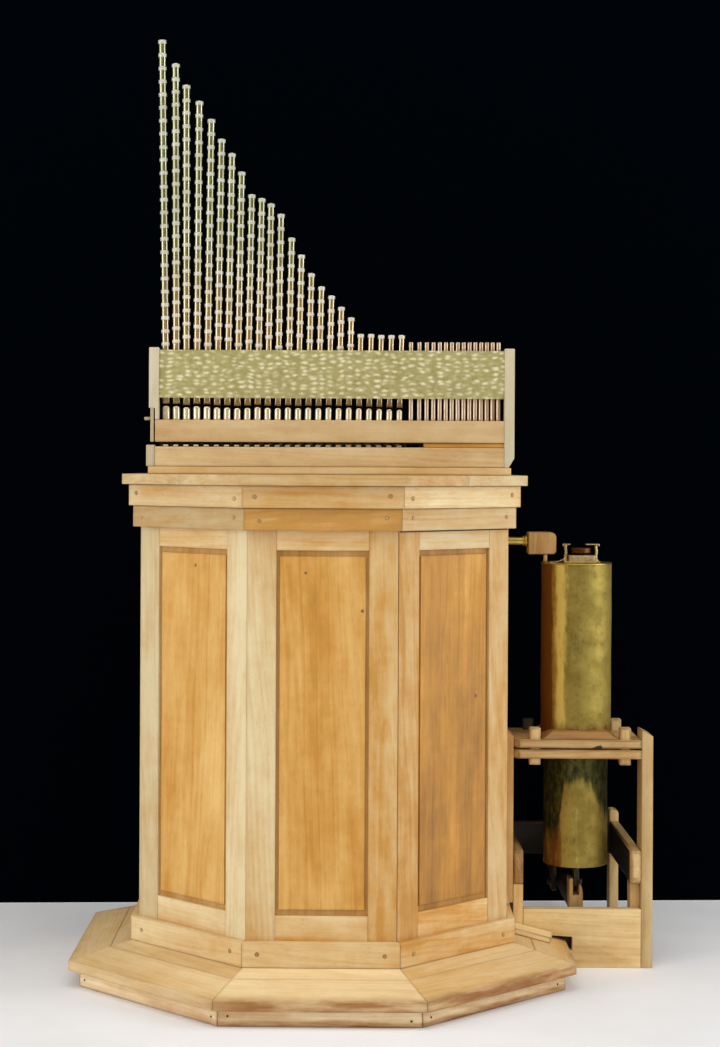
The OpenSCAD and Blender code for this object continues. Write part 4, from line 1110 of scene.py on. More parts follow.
# %% Wide pipes
pipe_lengths = np.array([803, 753, 708, 674, 636, 594, 564, 525, 477, 469, 458, 436,
                         386, 350, 311, 283, 264, 240, 218, 183, 183, 181, 181, 181]) / 1000
pipe_leans = np.radians([-0.9, -0.4, -0.3, 0.2, 0.6, 0.7, 0.8, 0.8, 0.9, 0.9, 0.7, 0.7,
                         1.0, 1.0, 1.1, 1.2, 1.3, 1.3, 1.3, 1.2, 1.4, 1.4, 1.4, 1.5])
pipe_radii = np.linspace(0.0154, 0.0118, pipe_count) / 2
slit_h, lip_h, pipe_wall = 0.0044, 0.020, 0.0012
slit_z = np.array([29.5, 29.0, 26.5, 29.0, 28.6, 26.4, 26.4, 25.2, 26.0, 27.6, 26.2, 25.8,
                   27.0, 25.6, 26.6, 26.0, 27.4, 26.2, 27.2, 26.0, 25.2, 24.6, 24.0, 23.2]) / 1000


def on_pipe(i, points):
    """Turns points about a pipe's foot by its lean, and puts them at its place."""
    c, s = math.cos(pipe_leans[i]), math.sin(pipe_leans[i])
    lift = pipe_radii[i] * abs(s)
    turned = points @ np.array([[c, 0, -s], [0, 1, 0], [s, 0, c]])
    return turned + [pipe_x0 + i * pipe_pitch, row_y, pipe_z + lift]


# Height below or above the slit, and how far the front of the pipe reaches there, in radii
lower_lip = ((0.008, 1), (0.006, 0.96), (0.004, 0.90), (0.0025, 0.84), (0.0012, 0.76), (0.0002, 0.66))
upper_lip = ((0.0002, 0.60), (0.006, 0.66), (0.012, 0.80), (lip_h, 1))


def wide_pipe(i):
    """A tube of radius r, of which the front is cut to y = max(y, -depth(z))."""
    r, top, slit = pipe_radii[i], pipe_lengths[i], slit_z[i]
    above = slit + slit_h
    rows = np.array([[0, 1, 0], [0.0005, 1, 0], [0.003, 1, 0], *[[slit - h, f, 0] for h, f in lower_lip],
                     [slit, 0.1, 1], [above, 0.1, 1], *[[above + h, f, 0] for h, f in upper_lip],
                     [top * 0.6, 1, 0], [top - 0.003, 1, 0], [top - 0.0005, 1, 0], [top, 1, 0], [top, 1, 0],
                     [top - 0.06, 1, 1]])
    heights, front, dark = [values[:, None] for values in rows.T]
    radii = np.full(len(rows), r)
    radii[[0, -3]] -= 0.0004
    radii[-2:] = r - pipe_wall
    x, y = around(radii, 32)
    pushed = np.maximum(y, -front * r)
    cut_away = pushed > y + 1e-6
    arch = np.sqrt(np.clip(1 - np.clip((heights - slit) / 0.008 + 1, 0, 1) ** 2, 0, 1))
    corner = np.clip((np.abs(x) / r - arch) * 6 + 0.5, 0, 1) * (y < 0) * (heights < slit)
    # Painted light on the points: black shade in the slit and beside the foot's arched top, a pale highlight
    # on the foot, and a dark reflection on the upper lip.
    slit_shade = np.maximum(dark * np.where(heights < slit + 0.01, cut_away, True), corner)
    foot = (heights < slit) * (1 - slit_shade)
    lip = cut_away * (heights > above) * (1 - slit_shade)
    points = np.stack([x, pushed, heights + 0 * x], -1)
    return carried(on_pipe(i, points), dark=slit_shade, warm=foot, edge=lip)


piece("wide_pipe_tubes", [wide_pipe(i) for i in range(pipe_count)], pipe_bronze,
      ["wide_pipes"])

# %% Rings on the wide pipes
ring_h, ring_out, ring_step = 0.0084, 0.0011, 0.0278
plate_top = high("front_plate")[2] - pipe_z


def pipe_ring(i, z):
    """A flat hoop with rounded edges: its radius is r + out * (1 - t^8) over its height, t from
    -1 to 1. Each is a little wider, narrower or more askew than the next."""
    t = np.array([-1, -0.94, -0.75, 0.75, 0.94, 1])
    r = pipe_radii[i] + ring_out * rng.uniform(0.82, 1.0) * (1 - np.abs(t) ** 8)
    half = ring_h / 2 * rng.uniform(0.93, 1.0)
    tilt = rng.normal(0, 0.015, 2)
    x, y = around(r, 20)
    heights = z + half * t[:, None] + tilt[0] * x + tilt[1] * y
    return carried(on_pipe(i, np.stack([x, y, heights], -1)), closed=False)


def all_rings():
    rings = []
    for i in range(pipe_count):
        top = pipe_lengths[i] - ring_h / 2 - 0.0004
        for z in np.arange(top, plate_top + ring_h / 2, -ring_step):
            rings.append(pipe_ring(i, z if z == top else z + rng.normal(0, 0.0005)))
    return rings


piece("pipe_ring_hoops", all_rings(), ring_metal, ["pipe_rings"])

# %% Thin pipes
thin_count, thin_r, thin_h = 15, 0.0048, high("thin_pipes")[2] - pipe_z
thin_start, thin_pitch, thin_spread = 0.0245, 0.0122, 0.0137


def thin_pipe(i):
    x = pipe_x0 + (pipe_count - 1) * pipe_pitch + thin_start + thin_pitch * i + thin_spread * (1 - 0.6 ** i)
    z = pipe_z + np.array([0, 0.0004, 0.003, thin_h - 0.003, thin_h - 0.0004, thin_h, thin_h, thin_h - 0.03])
    r = thin_r - np.array([0.0004, 0, 0, 0, 0, 0.0003, 0.0012, 0.0012])
    east, north = around(r, 20)
    return carried(np.stack([x + east, row_y + north, z[:, None] + 0 * east], -1))


piece("thin_pipe_tubes", [thin_pipe(i) for i in range(thin_count)], thin_copper,
      ["thin_pipes"])
plain_piece("front_plate_sheet", "front_plate", plate_brass, "plate_brass", bevel=0.0004, bow=0.0)

# %% [markdown]
# Keys at the back
# The sliders are worked from behind, by levers that turn on a rod between two cheeks. The
# photo hides them, so they are kept plain.

# %% Keys, rod and cheeks
key_w, key_t = 0.015, 0.009


def key_board(i):
    lo, hi = span("key_levers")
    near = lo[1] + joint_gap
    shape = [[near, lo[2]], [lo[1] + key_t, lo[2]], [lo[1] + key_t, hi[2] - key_t], [hi[1], hi[2] - key_t],
             [hi[1], hi[2]], [near, hi[2]]]
    return cut_board(shape, [pipe_x0 + i * pipe_pitch - key_w / 2, 0, 0], Y, Z, key_w, radii=0.001)


def pair_of_boards(node, grain_axis, **options):
    """Two equal boards at the left and right ends of a solid's box."""
    lo, hi = span(node)
    t = 0.012
    return [box_board([x, lo[1], lo[2]], [x + t, hi[1], hi[2]], grain_axis, **options)
            for x in (lo[0], hi[0] - t)]


def round_node(node, axis, sides=24):
    """A round bar with softened ends that fills a solid's box along an axis."""
    lo, hi = span(node)
    r = (hi - lo)[(axis + 1) % 3] / 2
    path = np.tile(centre_of(node), (6, 1))
    ends = r * np.array([0, 0.15, 0.8])
    path[:, axis] = np.r_[lo[axis] + ends, hi[axis] - ends[::-1]]
    return tube(path, np.array([0.85, 1, 1, 1, 1, 0.85]) * r, sides)


piece("key_boards", [key_board(i) for i in range(pipe_count)], stand_wood, ["key_levers"])
piece("cheek_boards", pair_of_boards("key_cheeks", 1, bevel=0.0015), chest_wood, ["key_cheeks"])
piece("key_rod_bar", [round_node("key_rod", 0)], rod_steel, ["key_rod"])

# %% [markdown]
# Pump cylinder
# The cylinder is rolled from sheet, wider above the platform than below it. Its surface is
# a circle carried up its height, with shallow dents: r = radius + dents(angle, z). The foot
# has a rolled rim and ends 12 mm above the solid's foot, as the photo shows. The lid is a
# plain disc with its upper edge rounded over.

# %% Cylinder and lid
barrel_lo, barrel_hi = span("pump_barrel")
pump_x, pump_y = centre_of("pump_barrel")[:2]
platform_top = high("platform_upper")[2]
upper_r, lower_r, barrel_wall = (barrel_hi[0] - barrel_lo[0]) / 2, 0.072, 0.002
barrel_sides = 96


def dents(angle, z):
    """A sum of slow waves round and up the sheet, half a millimetre deep, and a few sharper
    dents where it was knocked: -depth * exp(-distance^2)."""
    waves = 0.0002 * sum(np.sin(laps * angle + up * z + start)
                         for laps, up, start in ((3, 9, 0), (5, -23, 1), (2, 41, 2)))
    for a, h, size, depth in ((-1.72, 0.868, 0.012, 0.0006), (-2.0, 0.262, 0.018, 0.0009),
                              (-1.2, 0.30, 0.016, 0.0006), (-1.9, 0.36, 0.03, 0.0006)):
        away = ((np.angle(np.exp(1j * (angle - a))) * 0.075) ** 2 + (z - h) ** 2) / size ** 2
        waves = waves - depth * np.exp(-away)
    return waves


def hump(value, middle, width):
    """exp(-((value - middle) / width)^2)"""
    return np.exp(-((value - middle) / width) ** 2)


def stains_and_painted_reflections(angle, z):
    """Where the sheet turned brown or green, and where it is paler. Below the platform it is
    green down to a border, which lies lower at the sides; above, it is dark brown on the
    cabinet's side, a painted reflection of the cabinet's shaded side, pale next to that, a
    painted reflection of its lit side, and brown again at its foot."""
    front = np.angle(np.exp(1j * (angle + 1.62)))
    above = z > platform_top
    border = np.interp(front, [-1.6, -0.62, -0.42, 0.4, 1.0, 1.6], [0.27, 0.28, 0.40, 0.39, 0.33, 0.31])
    green = np.where(above, 0.40 * hump(front, -0.1, 0.6) * hump(z, 0.70, 0.07),
                     np.clip((z - border) / 0.06 + 0.5, 0, 1))
    foot = 0.55 * hump(z, 0.515, 0.022)
    # Painted reflection of the cabinet's shaded side, on the side of the barrel that faces it.
    left = 1.1 * np.clip((-0.72 - front) / 0.14, 0, 1) * np.clip((2.4 + front) / 0.4, 0, 1)
    low_left = 0.7 * np.clip((-0.45 - front) / 0.1, 0, 1)
    low_right = 0.5 * hump(front, 0.95, 0.3) * hump(z, 0.36, 0.03)
    brown = np.where(above, np.maximum(foot, left), low_left + low_right)
    # Above the platform the pale band is a painted reflection of the cabinet's lit side.
    rubbed = np.where(above, 0.95 * hump(front, -0.52, 0.2), 0.30 * hump(front, -0.1, 0.3))
    return brown, green, rubbed


def barrel_part(z0, z1, r, rim):
    """A wall with an outside, a top, an inside and a bottom, closed into itself."""
    z = np.r_[z0, z0 + 0.001, np.linspace(z0 + 0.004, z1 - 0.002, 48), z1]
    edge = rim * np.exp(-(((z - z0 - 0.0025) / 0.002) ** 2))
    angle = circle(barrel_sides)
    radius = r - 0.0009 + edge[:, None] + dents(angle, z[:, None])
    radius = np.concatenate([radius, np.full((2, barrel_sides), r - barrel_wall), radius[:1]])
    z = np.r_[z, z1, z0, z0][:, None] + 0 * radius
    points = np.stack([pump_x + radius * np.cos(angle), pump_y + radius * np.sin(angle), z], -1)
    brown, green, rubbed = stains_and_painted_reflections(angle + 0 * z, z)
    return carried(points, closed=False, warm=brown, dark=green, edge=rubbed)


def disc(node):
    """A round plate that fills a solid's box, with its upper edge rounded over."""
    lo, hi = span(node)
    x, y = centre_of(node)[:2]
    r, drop = (hi[0] - lo[0]) / 2, min(0.0012, (hi[2] - lo[2]) / 2)
    heights = (lo[2], hi[2] - drop, hi[2] - 0.3 * drop, hi[2])
    return tube(column(x, y, heights), [r, r, r - 0.3 * drop, r - drop], barrel_sides)


sheet_end = barrel_lo[2] + 0.012
piece("barrel_sheet", [barrel_part(sheet_end, platform_top, lower_r, 0.0015),
                       barrel_part(platform_top, barrel_hi[2], upper_r, 0.0)], barrel_brass,
      ["pump_barrel"])
piece("barrel_lid", [disc("pump_lid")], yellow_brass, ["pump_lid"])

# %% [markdown]
# Valve on the lid
# A flat box holds the air inlet. Over it, a round weight hangs between two uprights, which
# were twisted from square bar, under two small top plates. A twisted bar is a square carried
# upwards and turned as it goes. A thin spoon-shaped spring lies across the lid.

# %% Valve gear
def sweep(path, shape, turns=0.0):
    """A section carried along a path. Its points are path + u p + v q, and the section is
    turned by 2 pi turns t, where t is the share of the way along the path."""
    path, shape = np.array(path, float), np.array(shape, float)
    ahead = np.gradient(path, axis=0)
    ahead /= np.linalg.norm(ahead, axis=1)[:, None]
    u = np.cross(ahead, Y)
    u /= np.linalg.norm(u, axis=1)[:, None]
    v = np.cross(ahead, u)
    turn = 2 * np.pi * turns * np.linspace(0, 1, len(path))[:, None]
    p = shape[:, 0] * np.cos(turn) - shape[:, 1] * np.sin(turn)
    q = shape[:, 0] * np.sin(turn) + shape[:, 1] * np.cos(turn)
    return carried(path[:, None] + p[..., None] * u[:, None] + q[..., None] * v[:, None])


def soft_box(lo, hi, bevel=0.0008):
    """A small metal block with rounded edges."""
    return bare(box_board(lo, hi, 0, bevel=bevel, bow=0.0))


def square(w, d):
    """A rectangle of half sizes w and d with its corners cut off."""
    c = 0.2 * min(w, d)
    return [[w, -d + c], [w, d - c], [w - c, d], [-w + c, d],
            [-w, d - c], [-w, -d + c], [-w + c, -d], [w - c, -d]]


valve_lo, valve_hi = span("valve_gear")
valve_x, lid_top = centre_of("valve_gear")[0], high("pump_lid")[2]
valve_box_z = lid_top + 0.0025
box_half_x, box_half_y, box_h = 0.0285, 0.025, 0.013
bar_x, bar_half = 0.034, 0.0028
top_plate_x, top_plate_z, top_plate_half = 0.039, valve_hi[2] - 0.0019, 0.008
weight_z, weight_h, weight_r, stem_r = 0.9035, 0.012, 0.023, 0.003


def valve_side(side):
    """What stands left (-1) or right (1) of the weight: a twisted bar, the top plate with its
    knob and its two pins, and the bar's foot. The left plate is the shorter one."""
    x = valve_x + side * bar_x
    rise = np.linspace(valve_box_z, top_plate_z, 28)
    path = np.stack([x + 0.0006 * np.sin(rise * 300), pump_y + 0 * rise, rise], -1)
    parts = [sweep(path, square(bar_half, bar_half), 1.25 * side)]
    reach = 0.024 if side < 0 else 0.010
    lo_x, hi_x = sorted([valve_x + side * reach, valve_x + side * top_plate_x])
    parts.append(soft_box([lo_x, pump_y - top_plate_half, top_plate_z],
                          [hi_x, pump_y + top_plate_half, valve_hi[2]]))
    knob = [[valve_x + side * h, pump_y - 0.003, top_plate_z - 0.001]
            for h in (0.0385, 0.0390, 0.0405, 0.0415)]
    parts.append(tube(knob[::side], [0.0014, 0.0028, 0.0028, 0.0014], 12))
    for out in (reach + 0.004, bar_x):
        pin = column(valve_x + side * out, pump_y - 0.004, (top_plate_z - 0.001, valve_hi[2] - 0.0002))
        parts.append(tube(pin, [0.002, 0.002], 12))
    foot = column(x + side * 0.001, pump_y, [valve_box_z - 0.001 + h for h in (0, 0.002, 0.004, 0.005)])
    return parts + [tube(foot, [0.0048, 0.0048, 0.004, 0.0025], 16)]


def valve_parts():
    base = soft_box([valve_lo[0], valve_lo[1], lid_top], [valve_hi[0], valve_hi[1], valve_box_z])
    box = soft_box([valve_x - box_half_x, pump_y - box_half_y, valve_box_z],
                   [valve_x + box_half_x, pump_y + box_half_y, valve_box_z + box_h], 0.0012)
    return [base, box] + valve_side(-1) + valve_side(1)


def weight_parts():
    heights = weight_z + weight_h * np.array([0, 0.06, 0.3, 0.5, 0.7, 0.94, 1])
    radii = weight_r * np.array([0.9, 0.97, 0.97, 0.93, 0.97, 0.97, 0.9])
    stem = column(valve_x, pump_y, (valve_box_z + 0.01, weight_z + weight_h / 2))
    return [tube(stem, [stem_r, stem_r], 12), tube(column(valve_x, pump_y, heights), radii, 40)]


def spring_parts():
    """A strip that lies on the lid and rises to the box: z = lid + rise * t^3."""
    t = np.linspace(0, 1, 16)
    x, y = valve_x - 0.072, pump_y - 0.03
    path = np.stack([x + 0.034 * t, y + 0.006 * t, lid_top + 0.001 + 0.010 * t ** 3], -1)
    spoon = column(x, y, [lid_top + h for h in (0.0002, 0.0008, 0.0016)])
    return [sweep(path, square(0.0008, 0.0018)), tube(spoon, [0.004, 0.005, 0.004], 20)]


piece("valve_gear_brass", valve_parts() + spring_parts(), valve_brass, ["valve_gear"])
piece("valve_weight", weight_parts(), red_brass)

# %% Air pipe, outlet tube and elbow block
def elbow():
    lo, hi = span("elbow_block")
    return front_board(rectangle(lo[0], hi[0], lo[2], hi[2]), lo[1], hi[1],
                       radii=[0.002, 0.008, 0.012, 0.002], steps=7, bevel=0.002, warm=0.9, tone=-2.4)


air_z, air_end = centre_of("air_pipe")[2], high("air_pipe")[0]


def collar_ring(x, r, width):
    """A turned collar on the air pipe."""
    path = [[x + width * t, pump_y, air_z] for t in (0, 0.1, 0.35, 0.65, 0.9, 1)]
    return tube(path, r * np.array([0.8, 0.96, 1, 1, 0.96, 0.8]), 32)


piece("elbow_wood", [elbow()], stand_wood, ["elbow_block"])
piece("air_pipe_brass", [round_node("air_pipe", 0, 32), collar_ring(air_end - 0.011, 0.0115, 0.004),
                         collar_ring(air_end - 0.006, 0.0125, 0.0058)],
      yellow_brass, ["air_pipe"])
piece("outlet_tube_brass", [round_node("outlet_tube", 2)], valve_brass, ["outlet_tube"])

# %% [markdown]
# Pump stand
# The stand is rough joinery: two main posts, a platform of two planks with a bevelled
# collar, pegs that are wedged in place, side beams on short posts, and a sill board that is
# cut to sit over the step. Its boards are sawn to their outlines, with worn corners.

# %% Platform, collar and pegs
def plank(node, **options):
    lo, hi = span(node)
    corner = 0.012
    shape = [[lo[0], lo[1] + corner], [lo[0] + corner, lo[1]], [hi[0], lo[1]], [hi[0], hi[1]],
             [lo[0], hi[1]]]
    return cut_board(shape, [0, 0, lo[2]], X, Y, hi[2] - lo[2], radii=0.002, bevel=0.0015, **options)


def collar():
    """A board whose top is smaller than its foot, on all four sides."""
    lo, hi = span("barrel_collar")
    side, end = 0.026, hi[2] - lo[2]
    ends = [[[[x0, y0, lo[2]], [x1, y1, hi[2]]] for y0, y1 in ((lo[1], lo[1] + end), (hi[1], hi[1] - end))]
            for x0, x1 in ((lo[0], lo[0] + side), (hi[0], hi[0] - side))]
    return board(ends, bevel=0.0015, warm=1.05, tone=-2.0)


def peg_boards():
    lo, hi = span("platform_pegs")
    size = 0.025
    far_x, far_y = hi[0] - size, hi[1] - size
    # The back left peg is near black: painted shade.
    places = ((lo[0], lo[1], -0.5), (lo[0], far_y, -9), (far_x, lo[1], -0.5), (far_x, far_y, -1))
    return [box_board([x, y, lo[2]], [x + size, y + size, hi[2] - rng.uniform(0, 0.003)], 2, bevel=0.002,
                      warm=0.35, tone=tone) for x, y, tone in places]


def stand_piece(name, node, parts):
    piece(name, parts, stand_wood, [node])


stand_piece("platform_upper_plank", "platform_upper", [plank("platform_upper", warm=0.65, tone=-1.8)])
stand_piece("platform_lower_plank", "platform_lower", [plank("platform_lower", warm=0.45, tone=-1.2)])
stand_piece("collar_wood", "barrel_collar", [collar()])
stand_piece("peg_wood", "platform_pegs", peg_boards())


# %% Posts
def main_post(node, **options):
    """A post whose top falls away to the right."""
    lo, hi = span(node)
    fall = 0.014
    shape = [[lo[0], lo[2]], [hi[0], lo[2]], [hi[0], hi[2] - fall], [lo[0], hi[2]]]
    return front_board(shape, lo[1], hi[1], **options)


post_t, post_d = 0.022, 0.04
stand_lo, stand_hi = span("side_beams")
short_lo, short_hi = span("short_posts")
left_x, right_x = stand_lo[0], stand_hi[0] - post_t


def step_under(x):
    """Height of what the stand meets at a place right of the cabinet: the step or the floor."""
    out = x - half_w
    return step_height(out) + joint_gap if out < tread_out else 0.0


def front_post(x, y):
    """A short post on the step or the floor, under the end of a side beam."""
    top = stand_lo[2]
    shape = [[x, step_under(x)], [x + post_t, step_under(x + post_t)], [x + post_t, top], [x, top]]
    return front_board(shape, y, y + post_d, steps=5, warm=0.5)


def back_post(x, **options):
    """A short post behind the step, which stands on the floor."""
    return front_board(rectangle(x, x + post_t, 0, short_hi[2]), short_hi[1] - post_d, short_hi[1],
                       radii=[0.002, 0.002, 0.009, 0.004], steps=5, bevel=0.002, **options)


stand_piece("main_post_right_wood", "main_post_right", [main_post("main_post_right", warm=0.35, tone=-2.4)])
stand_piece("main_post_left_wood", "main_post_left", [main_post("main_post_left", warm=0.8, tone=-1)])
stand_piece("short_post_wood", "short_posts",
            [front_post(left_x, stand_lo[1]), front_post(right_x, stand_lo[1] + 0.022),
             back_post(left_x, warm=0.5, tone=-1), back_post(right_x, warm=0.4)])

# %% Beams, rail, sill, batten and wedge
def beam_boards():
    """The side beams carry painted shade behind their front ends, darkest on their left faces."""
    lo, hi = stand_lo, stand_hi
    shape = rectangle(lo[1], hi[1], lo[2], hi[2])
    boards = []
    for x, corner, warm, tone in ((lo[0], [0.003, 0.003, 0.003, 0.006], 0.9, -3),
                                  (right_x, [0.014, 0.003, 0.003, 0.005], 0.45, 0)):
        beam = cut_board(shape, [x, 0, 0], Y, Z, post_t, radii=corner, steps=5, bevel=0.003,
                         warm=warm, tone=tone)
        # Painted shade: darker behind the front end, darkest on the left face.
        behind = beam["points"][:, 1] > lo[1] + 0.014
        inside = beam["points"][:, 0] < x + 0.0012
        beam["tone"] = np.where(behind, np.where(inside, -10, -4), beam["tone"])
        boards.append(beam)
    return boards


sill_lo, sill_hi = span("sill_board")
step_end = half_w + tread_out + joint_gap


def sill():
    """The sill board stands on the floor and the step, with a notch over the step's edge."""
    notch_left, notch_right, notch_top, notch_low = 0.497, 0.5445, 0.070, 0.038
    notch = [[notch_left, step_under(notch_left)], [notch_left, notch_top],
             [notch_right, notch_top - 0.003], [notch_right, notch_low]]
    shape = [[step_end, sill_lo[2]], [sill_hi[0], sill_lo[2]], [sill_hi[0], sill_hi[2]],
             [sill_lo[0], sill_hi[2]], [sill_lo[0], step_under(sill_lo[0])], *notch, [step_end, notch_low]]
    return front_board(shape, sill_lo[1], sill_hi[1], radii=0.0015, grain=(1, 0), warm=0.25, tone=0.1)


def shade_fillers():
    """Dark pieces of painted shade: behind the sill's notch and beside the left post, where they
    keep the floor from showing, along the right beam's left face, and as a dark split in the
    platform's lower edge."""
    left, right, top = 0.480, 0.560, 0.080
    shape = [[step_end, 0.002], [right, 0.002], [right, top], [left, top], [left, step_under(left) + 0.0005]]
    back = cut_board(shape, [0, sill_hi[1] + 0.004, 0], X, Z, 0.0035, radii=0.0005, bevel=0.0005, tone=-3)
    beside = half_w + skirting_t
    post = box_board([beside + 0.0003, stand_lo[1] + 0.001, step_under(beside) + 0.001],
                     [left_x - 0.0003, stand_lo[1] + 0.008, skirting_top - 0.0002], 2, bevel=0.0003, tone=-3)
    beam = box_board([right_x - 0.0005, stand_lo[1] + 0.024, stand_lo[2] + 0.003],
                     [right_x + 0.0005, stand_hi[1] - 0.003, stand_hi[2] - 0.005], 1, bevel=0.0002, tone=-6)
    face, under = low("platform_upper")[1:]
    split_shape = [[0.586, under], [0.610, under], [0.606, under + 0.007], [0.596, under + 0.005]]
    dark_split = cut_board(split_shape, [0, face + 0.0008, 0], X, Z, 0.0012, radii=0.0004,
                           bevel=0.0002, tone=-2)
    return [back, post, beam, dark_split]


def batten():
    """A small board that lies on the step: its corners are start + l (cos s, -sin s) + t (sin s,
    cos s), where s is the slope's angle, and its far end is cut askew."""
    lo, hi = span("step_batten")
    c, s = np.array([1, slope]) / math.hypot(1, slope)
    length, t = 0.092, 0.013
    start = np.array([lo[0], 0, hi[2] - t * c])
    down, up = np.array([c, 0, -s]), np.array([s, 0, c])
    ends = []
    for reach in ((0, 0), (length - 0.01, length)):
        ends.append([[start + down * r + [0, y, 0], start + down * r + up * t + [0, y, 0]]
                     for r, y in zip(reach, (lo[1], hi[1]))])
    return board(ends, bevel=0.0015, warm=0.2, tone=0.5)


def wedge():
    """A small wedge beside the left post, on the skirting: narrow at its top."""
    x0, x1 = half_w + 0.001, half_w + skirting_t
    y0, y1 = stand_lo[1] - 0.02, stand_lo[1] - 0.001
    ends = [[[[x0, y0, z], [x0, y1, z]], [[x, y0, z], [x, y1, z]]]
            for x, z in ((x1, skirting_top), (x0 + 0.007, skirting_top + 0.034))]
    return board(ends, bevel=0.001, warm=0.3, tone=-1)


stand_piece("side_beam_boards", "side_beams", beam_boards())
# The back rail is near black: painted shade at the back of the stand.
plain_piece("back_rail_board", "back_rail", shade_wood, "stand_wood", bevel=0.0015, tone=-6)
stand_piece("sill_wood", "sill_board", [sill()])
stand_piece("batten_wood", "step_batten", [batten()])
piece("post_wedge", [wedge()], stand_wood)
# Dark pieces that stand for shade: painted shade.
piece("painted_shade_fillers", shade_fillers(), shade_wood)

# %% [markdown]
# Lever and piston
# The pump is worked by a bar that turns on an axle between two cheeks. Its front end is a
# fork with one tall and one curved prong, in which the eye of the piston's rod hangs.

# %% Lever, axle and cheeks
lever_lo, lever_hi = span("pump_lever")
axle_z = centre_of("lever_axle")[2]
bar_top = 2 * axle_z - lever_lo[2]


def lever_parts():
    """The bar, and the fork before it. The fork's right prong follows a curve with three
    control points: (1 - t)^2 a + 2 t (1 - t) b + t^2 c."""
    half, slot = (lever_hi[0] - lever_lo[0]) / 2, 0.0065
    fork_l, fork_h = 0.045, lever_hi[2] - axle_z
    bar = box_board([lever_lo[0], lever_lo[1] + 0.001, lever_lo[2]], [lever_hi[0], lever_hi[1], bar_top], 1,
                    bevel=0.004, warm=0.6)
    t = np.linspace(0, 1, 7)[:, None]
    a, b, c = np.array([[half, 0.021], [half - 0.001, 0.037], [slot + 0.0005, fork_h - 0.008]])
    outer = (1 - t) ** 2 * a + 2 * t * (1 - t) * b + t ** 2 * c
    shape = [[-half, -0.012], [half, -0.012], *outer.tolist(), [slot, bar_top - axle_z],
             [-slot, bar_top - axle_z], [-slot, fork_h], [-half, fork_h]]
    radii = [0.002, 0.002] + [0.0006] * 7 + [0.001, 0.001, 0.002, 0.003]
    fork = cut_board(shape, [pump_x, lever_lo[1] + fork_l, axle_z], X, Z, fork_l, radii=radii, grain=(0, 1),
                     bevel=0.0015, warm=0.55, tone=0)
    return bar, fork


lever_bar, lever_fork = lever_parts()
# The bar is near black: painted shade behind the fork.
piece("lever_bar_wood", [lever_bar], shade_wood, ["pump_lever"], body="lever")
piece("lever_fork_wood", [lever_fork], stand_wood, body="lever")
# The cheeks are darker still: painted shade behind the fork.
piece("axle_cheeks", pair_of_boards("axle_brackets", 2, bevel=0.0025, tone=-3), shade_wood,
      ["axle_brackets"])
piece("axle_bar", [round_node("lever_axle", 0)], rod_steel, ["lever_axle"])
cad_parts["pump_piston"].data.materials[0] = rod_steel

# %% [markdown]
# Camera
# The photo was taken from in front, a little right of the middle and level with the slab.
# The camera's distance and lens were worked out from the corners of the base and cornice,
# and its small shift puts the organ at the same place in the picture.

# %% Camera
photo_w, photo_h = 720, 1047
focal_px = 1995.45
centre_px = (327.42, 467.76)
yaw, roll = -0.0111, 0.0049
camera_data = bpy.data.cameras.new("photo camera")
camera_data.sensor_fit = "HORIZONTAL"
camera_data.sensor_width = 36
camera_data.lens = focal_px / photo_w * camera_data.sensor_width
camera_data.shift_x = (photo_w / 2 - centre_px[0]) / photo_w
camera_data.shift_y = (centre_px[1] - photo_h / 2) / photo_w
camera = add_object("photo camera", camera_data)
distance, side_step, eye_height = 4.4, 0.0037, 1.0915
camera.location = (side_step * math.cos(yaw) - distance * math.sin(yaw),
                   -side_step * math.sin(yaw) - distance * math.cos(yaw), eye_height)
camera.rotation_mode = "XYZ"
camera.rotation_euler = (math.pi / 2, -roll, -yaw)
print("camera at", [round(v, 4) for v in camera.location])
bpy.context.scene.camera = camera

# %% [markdown]
# Floor, backdrop and light
# The organ stands on a pale floor before a black cloth. The cloth is seen only from its
# front, so other views look through it. Two large soft lamps stand left and right of the
# camera, as the two bright lines on every pipe show.

# %% Floor and backdrop
def stage_sheet(name, corners, material):
    mesh = bpy.data.meshes.new(name)
    mesh.from_pydata(corners, [], [(0, 1, 2, 3)])
    mesh.materials.append(material)
    sheet = add_object(name, mesh)


def floor_material():
    material, tree, shader = new_material("pale floor")
    darkening = between(cloud(object_place(tree), 2.5, 4.0), 0.35, 0.7)
    wire(shader.inputs["Base Color"], blend(darkening, srgb(249, 250, 252), srgb(242, 243, 244)))
    wire(shader.inputs["Roughness"], 0.7)
    return material


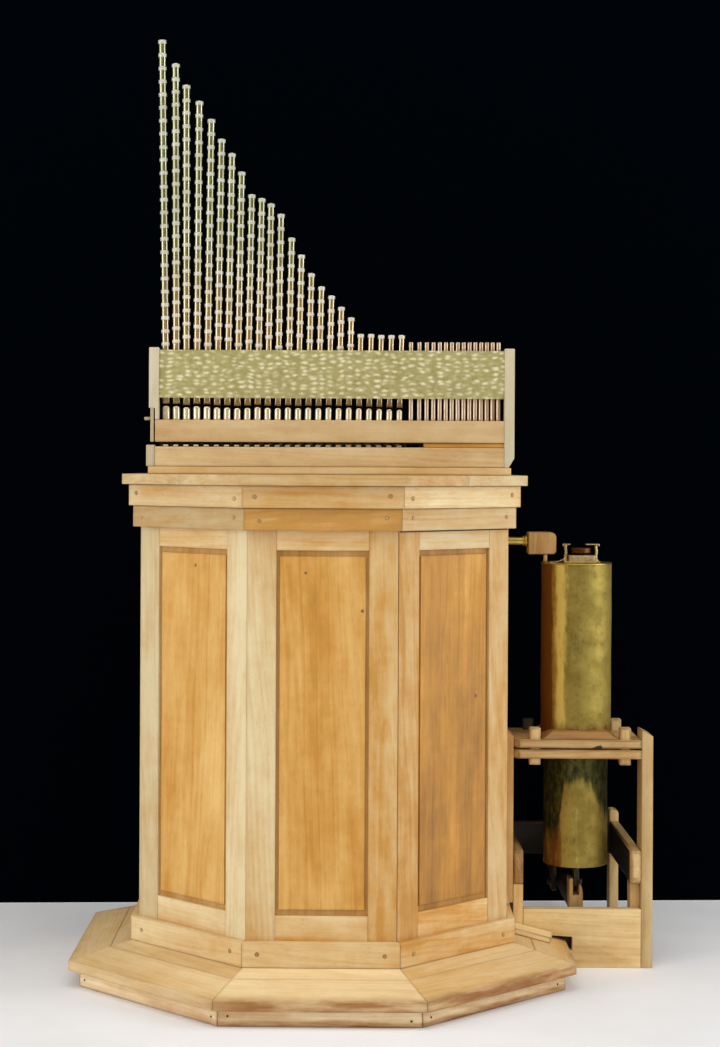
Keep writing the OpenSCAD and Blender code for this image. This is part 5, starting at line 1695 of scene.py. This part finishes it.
def backdrop_material():
    """A black cloth, clear from behind."""
    material, tree, cloth = new_material("black cloth")
    for key, value in (("Base Color", srgb(1, 3, 6)), ("Roughness", 1.0), ("Specular IOR Level", 0.0)):
        wire(cloth.inputs[key], value)
    side = Signal(add_node(tree, "NewGeometry").outputs["Backfacing"])
    clear = Signal(add_node(tree, "BsdfTransparent").outputs[0])
    mix = add_node(tree, "MixShader", (side, Signal(cloth.outputs[0]), clear))
    wire(tree.nodes["Material Output"].inputs["Surface"], Signal(mix.outputs[0]))
    return material


def cloth_y(x):
    """The cloth hangs a little askew behind the organ."""
    return 0.6185 + 0.05 * x


reach, cloth_low, cloth_top = 9, 0.0005, 6
stage_sheet("floor", [(-reach, -reach, 0), (reach, -reach, 0), (reach, reach, 0), (-reach, reach, 0)],
            floor_material())
stage_sheet("backdrop", [(-reach, cloth_y(-reach), cloth_low), (reach, cloth_y(reach), cloth_low),
                         (reach, cloth_y(reach), cloth_top), (-reach, cloth_y(-reach), cloth_top)],
            backdrop_material())


# %% Lamps and world
def lamp(name, place, aim, size, size_y, power):
    """A soft lamp that points from its place at its aim."""
    data = bpy.data.lights.new(name, "AREA")
    data.shape = "RECTANGLE"
    data.size, data.size_y, data.energy = size, size_y, power
    made = add_object(name, data)
    made.location = place
    x, y, z = np.array(aim, float) - np.array(place, float)
    made.rotation_euler = (math.pi / 2 + math.atan2(z, math.hypot(x, y)), 0, -math.atan2(x, y))
    made.visible_camera = False


lamp("left window", (-3.12, -1.80, 1.7), (0, 0, 1.2), 2.6, 3.2, 56)
lamp("right window", (3.46, -0.99, 1.7), (0, 0, 1.2), 2.2, 3.2, 62)
lamp("top window", (0, -1.8, 4.2), (0, 0, 0.6), 3.0, 2.0, 47)
lamp("room behind the camera", (0, -6.5, 2.4), (0, 0, 1.2), 6.0, 3.6, 20)
world = bpy.data.worlds.new("studio")
bpy.context.scene.world = world
world.use_nodes = True
background = world.node_tree.nodes["Background"]
rays = add_node(world.node_tree, "LightPath").outputs
seen = maths("MAXIMUM", Signal(rays["Is Camera Ray"]), Signal(rays["Is Glossy Ray"]))
wire(background.inputs["Color"], blend(seen, (1, 1, 1, 1), (0.004, 0.005, 0.007, 1)))
wire(background.inputs["Strength"], 0.62)
bpy.context.scene.view_settings.view_transform = "Standard"
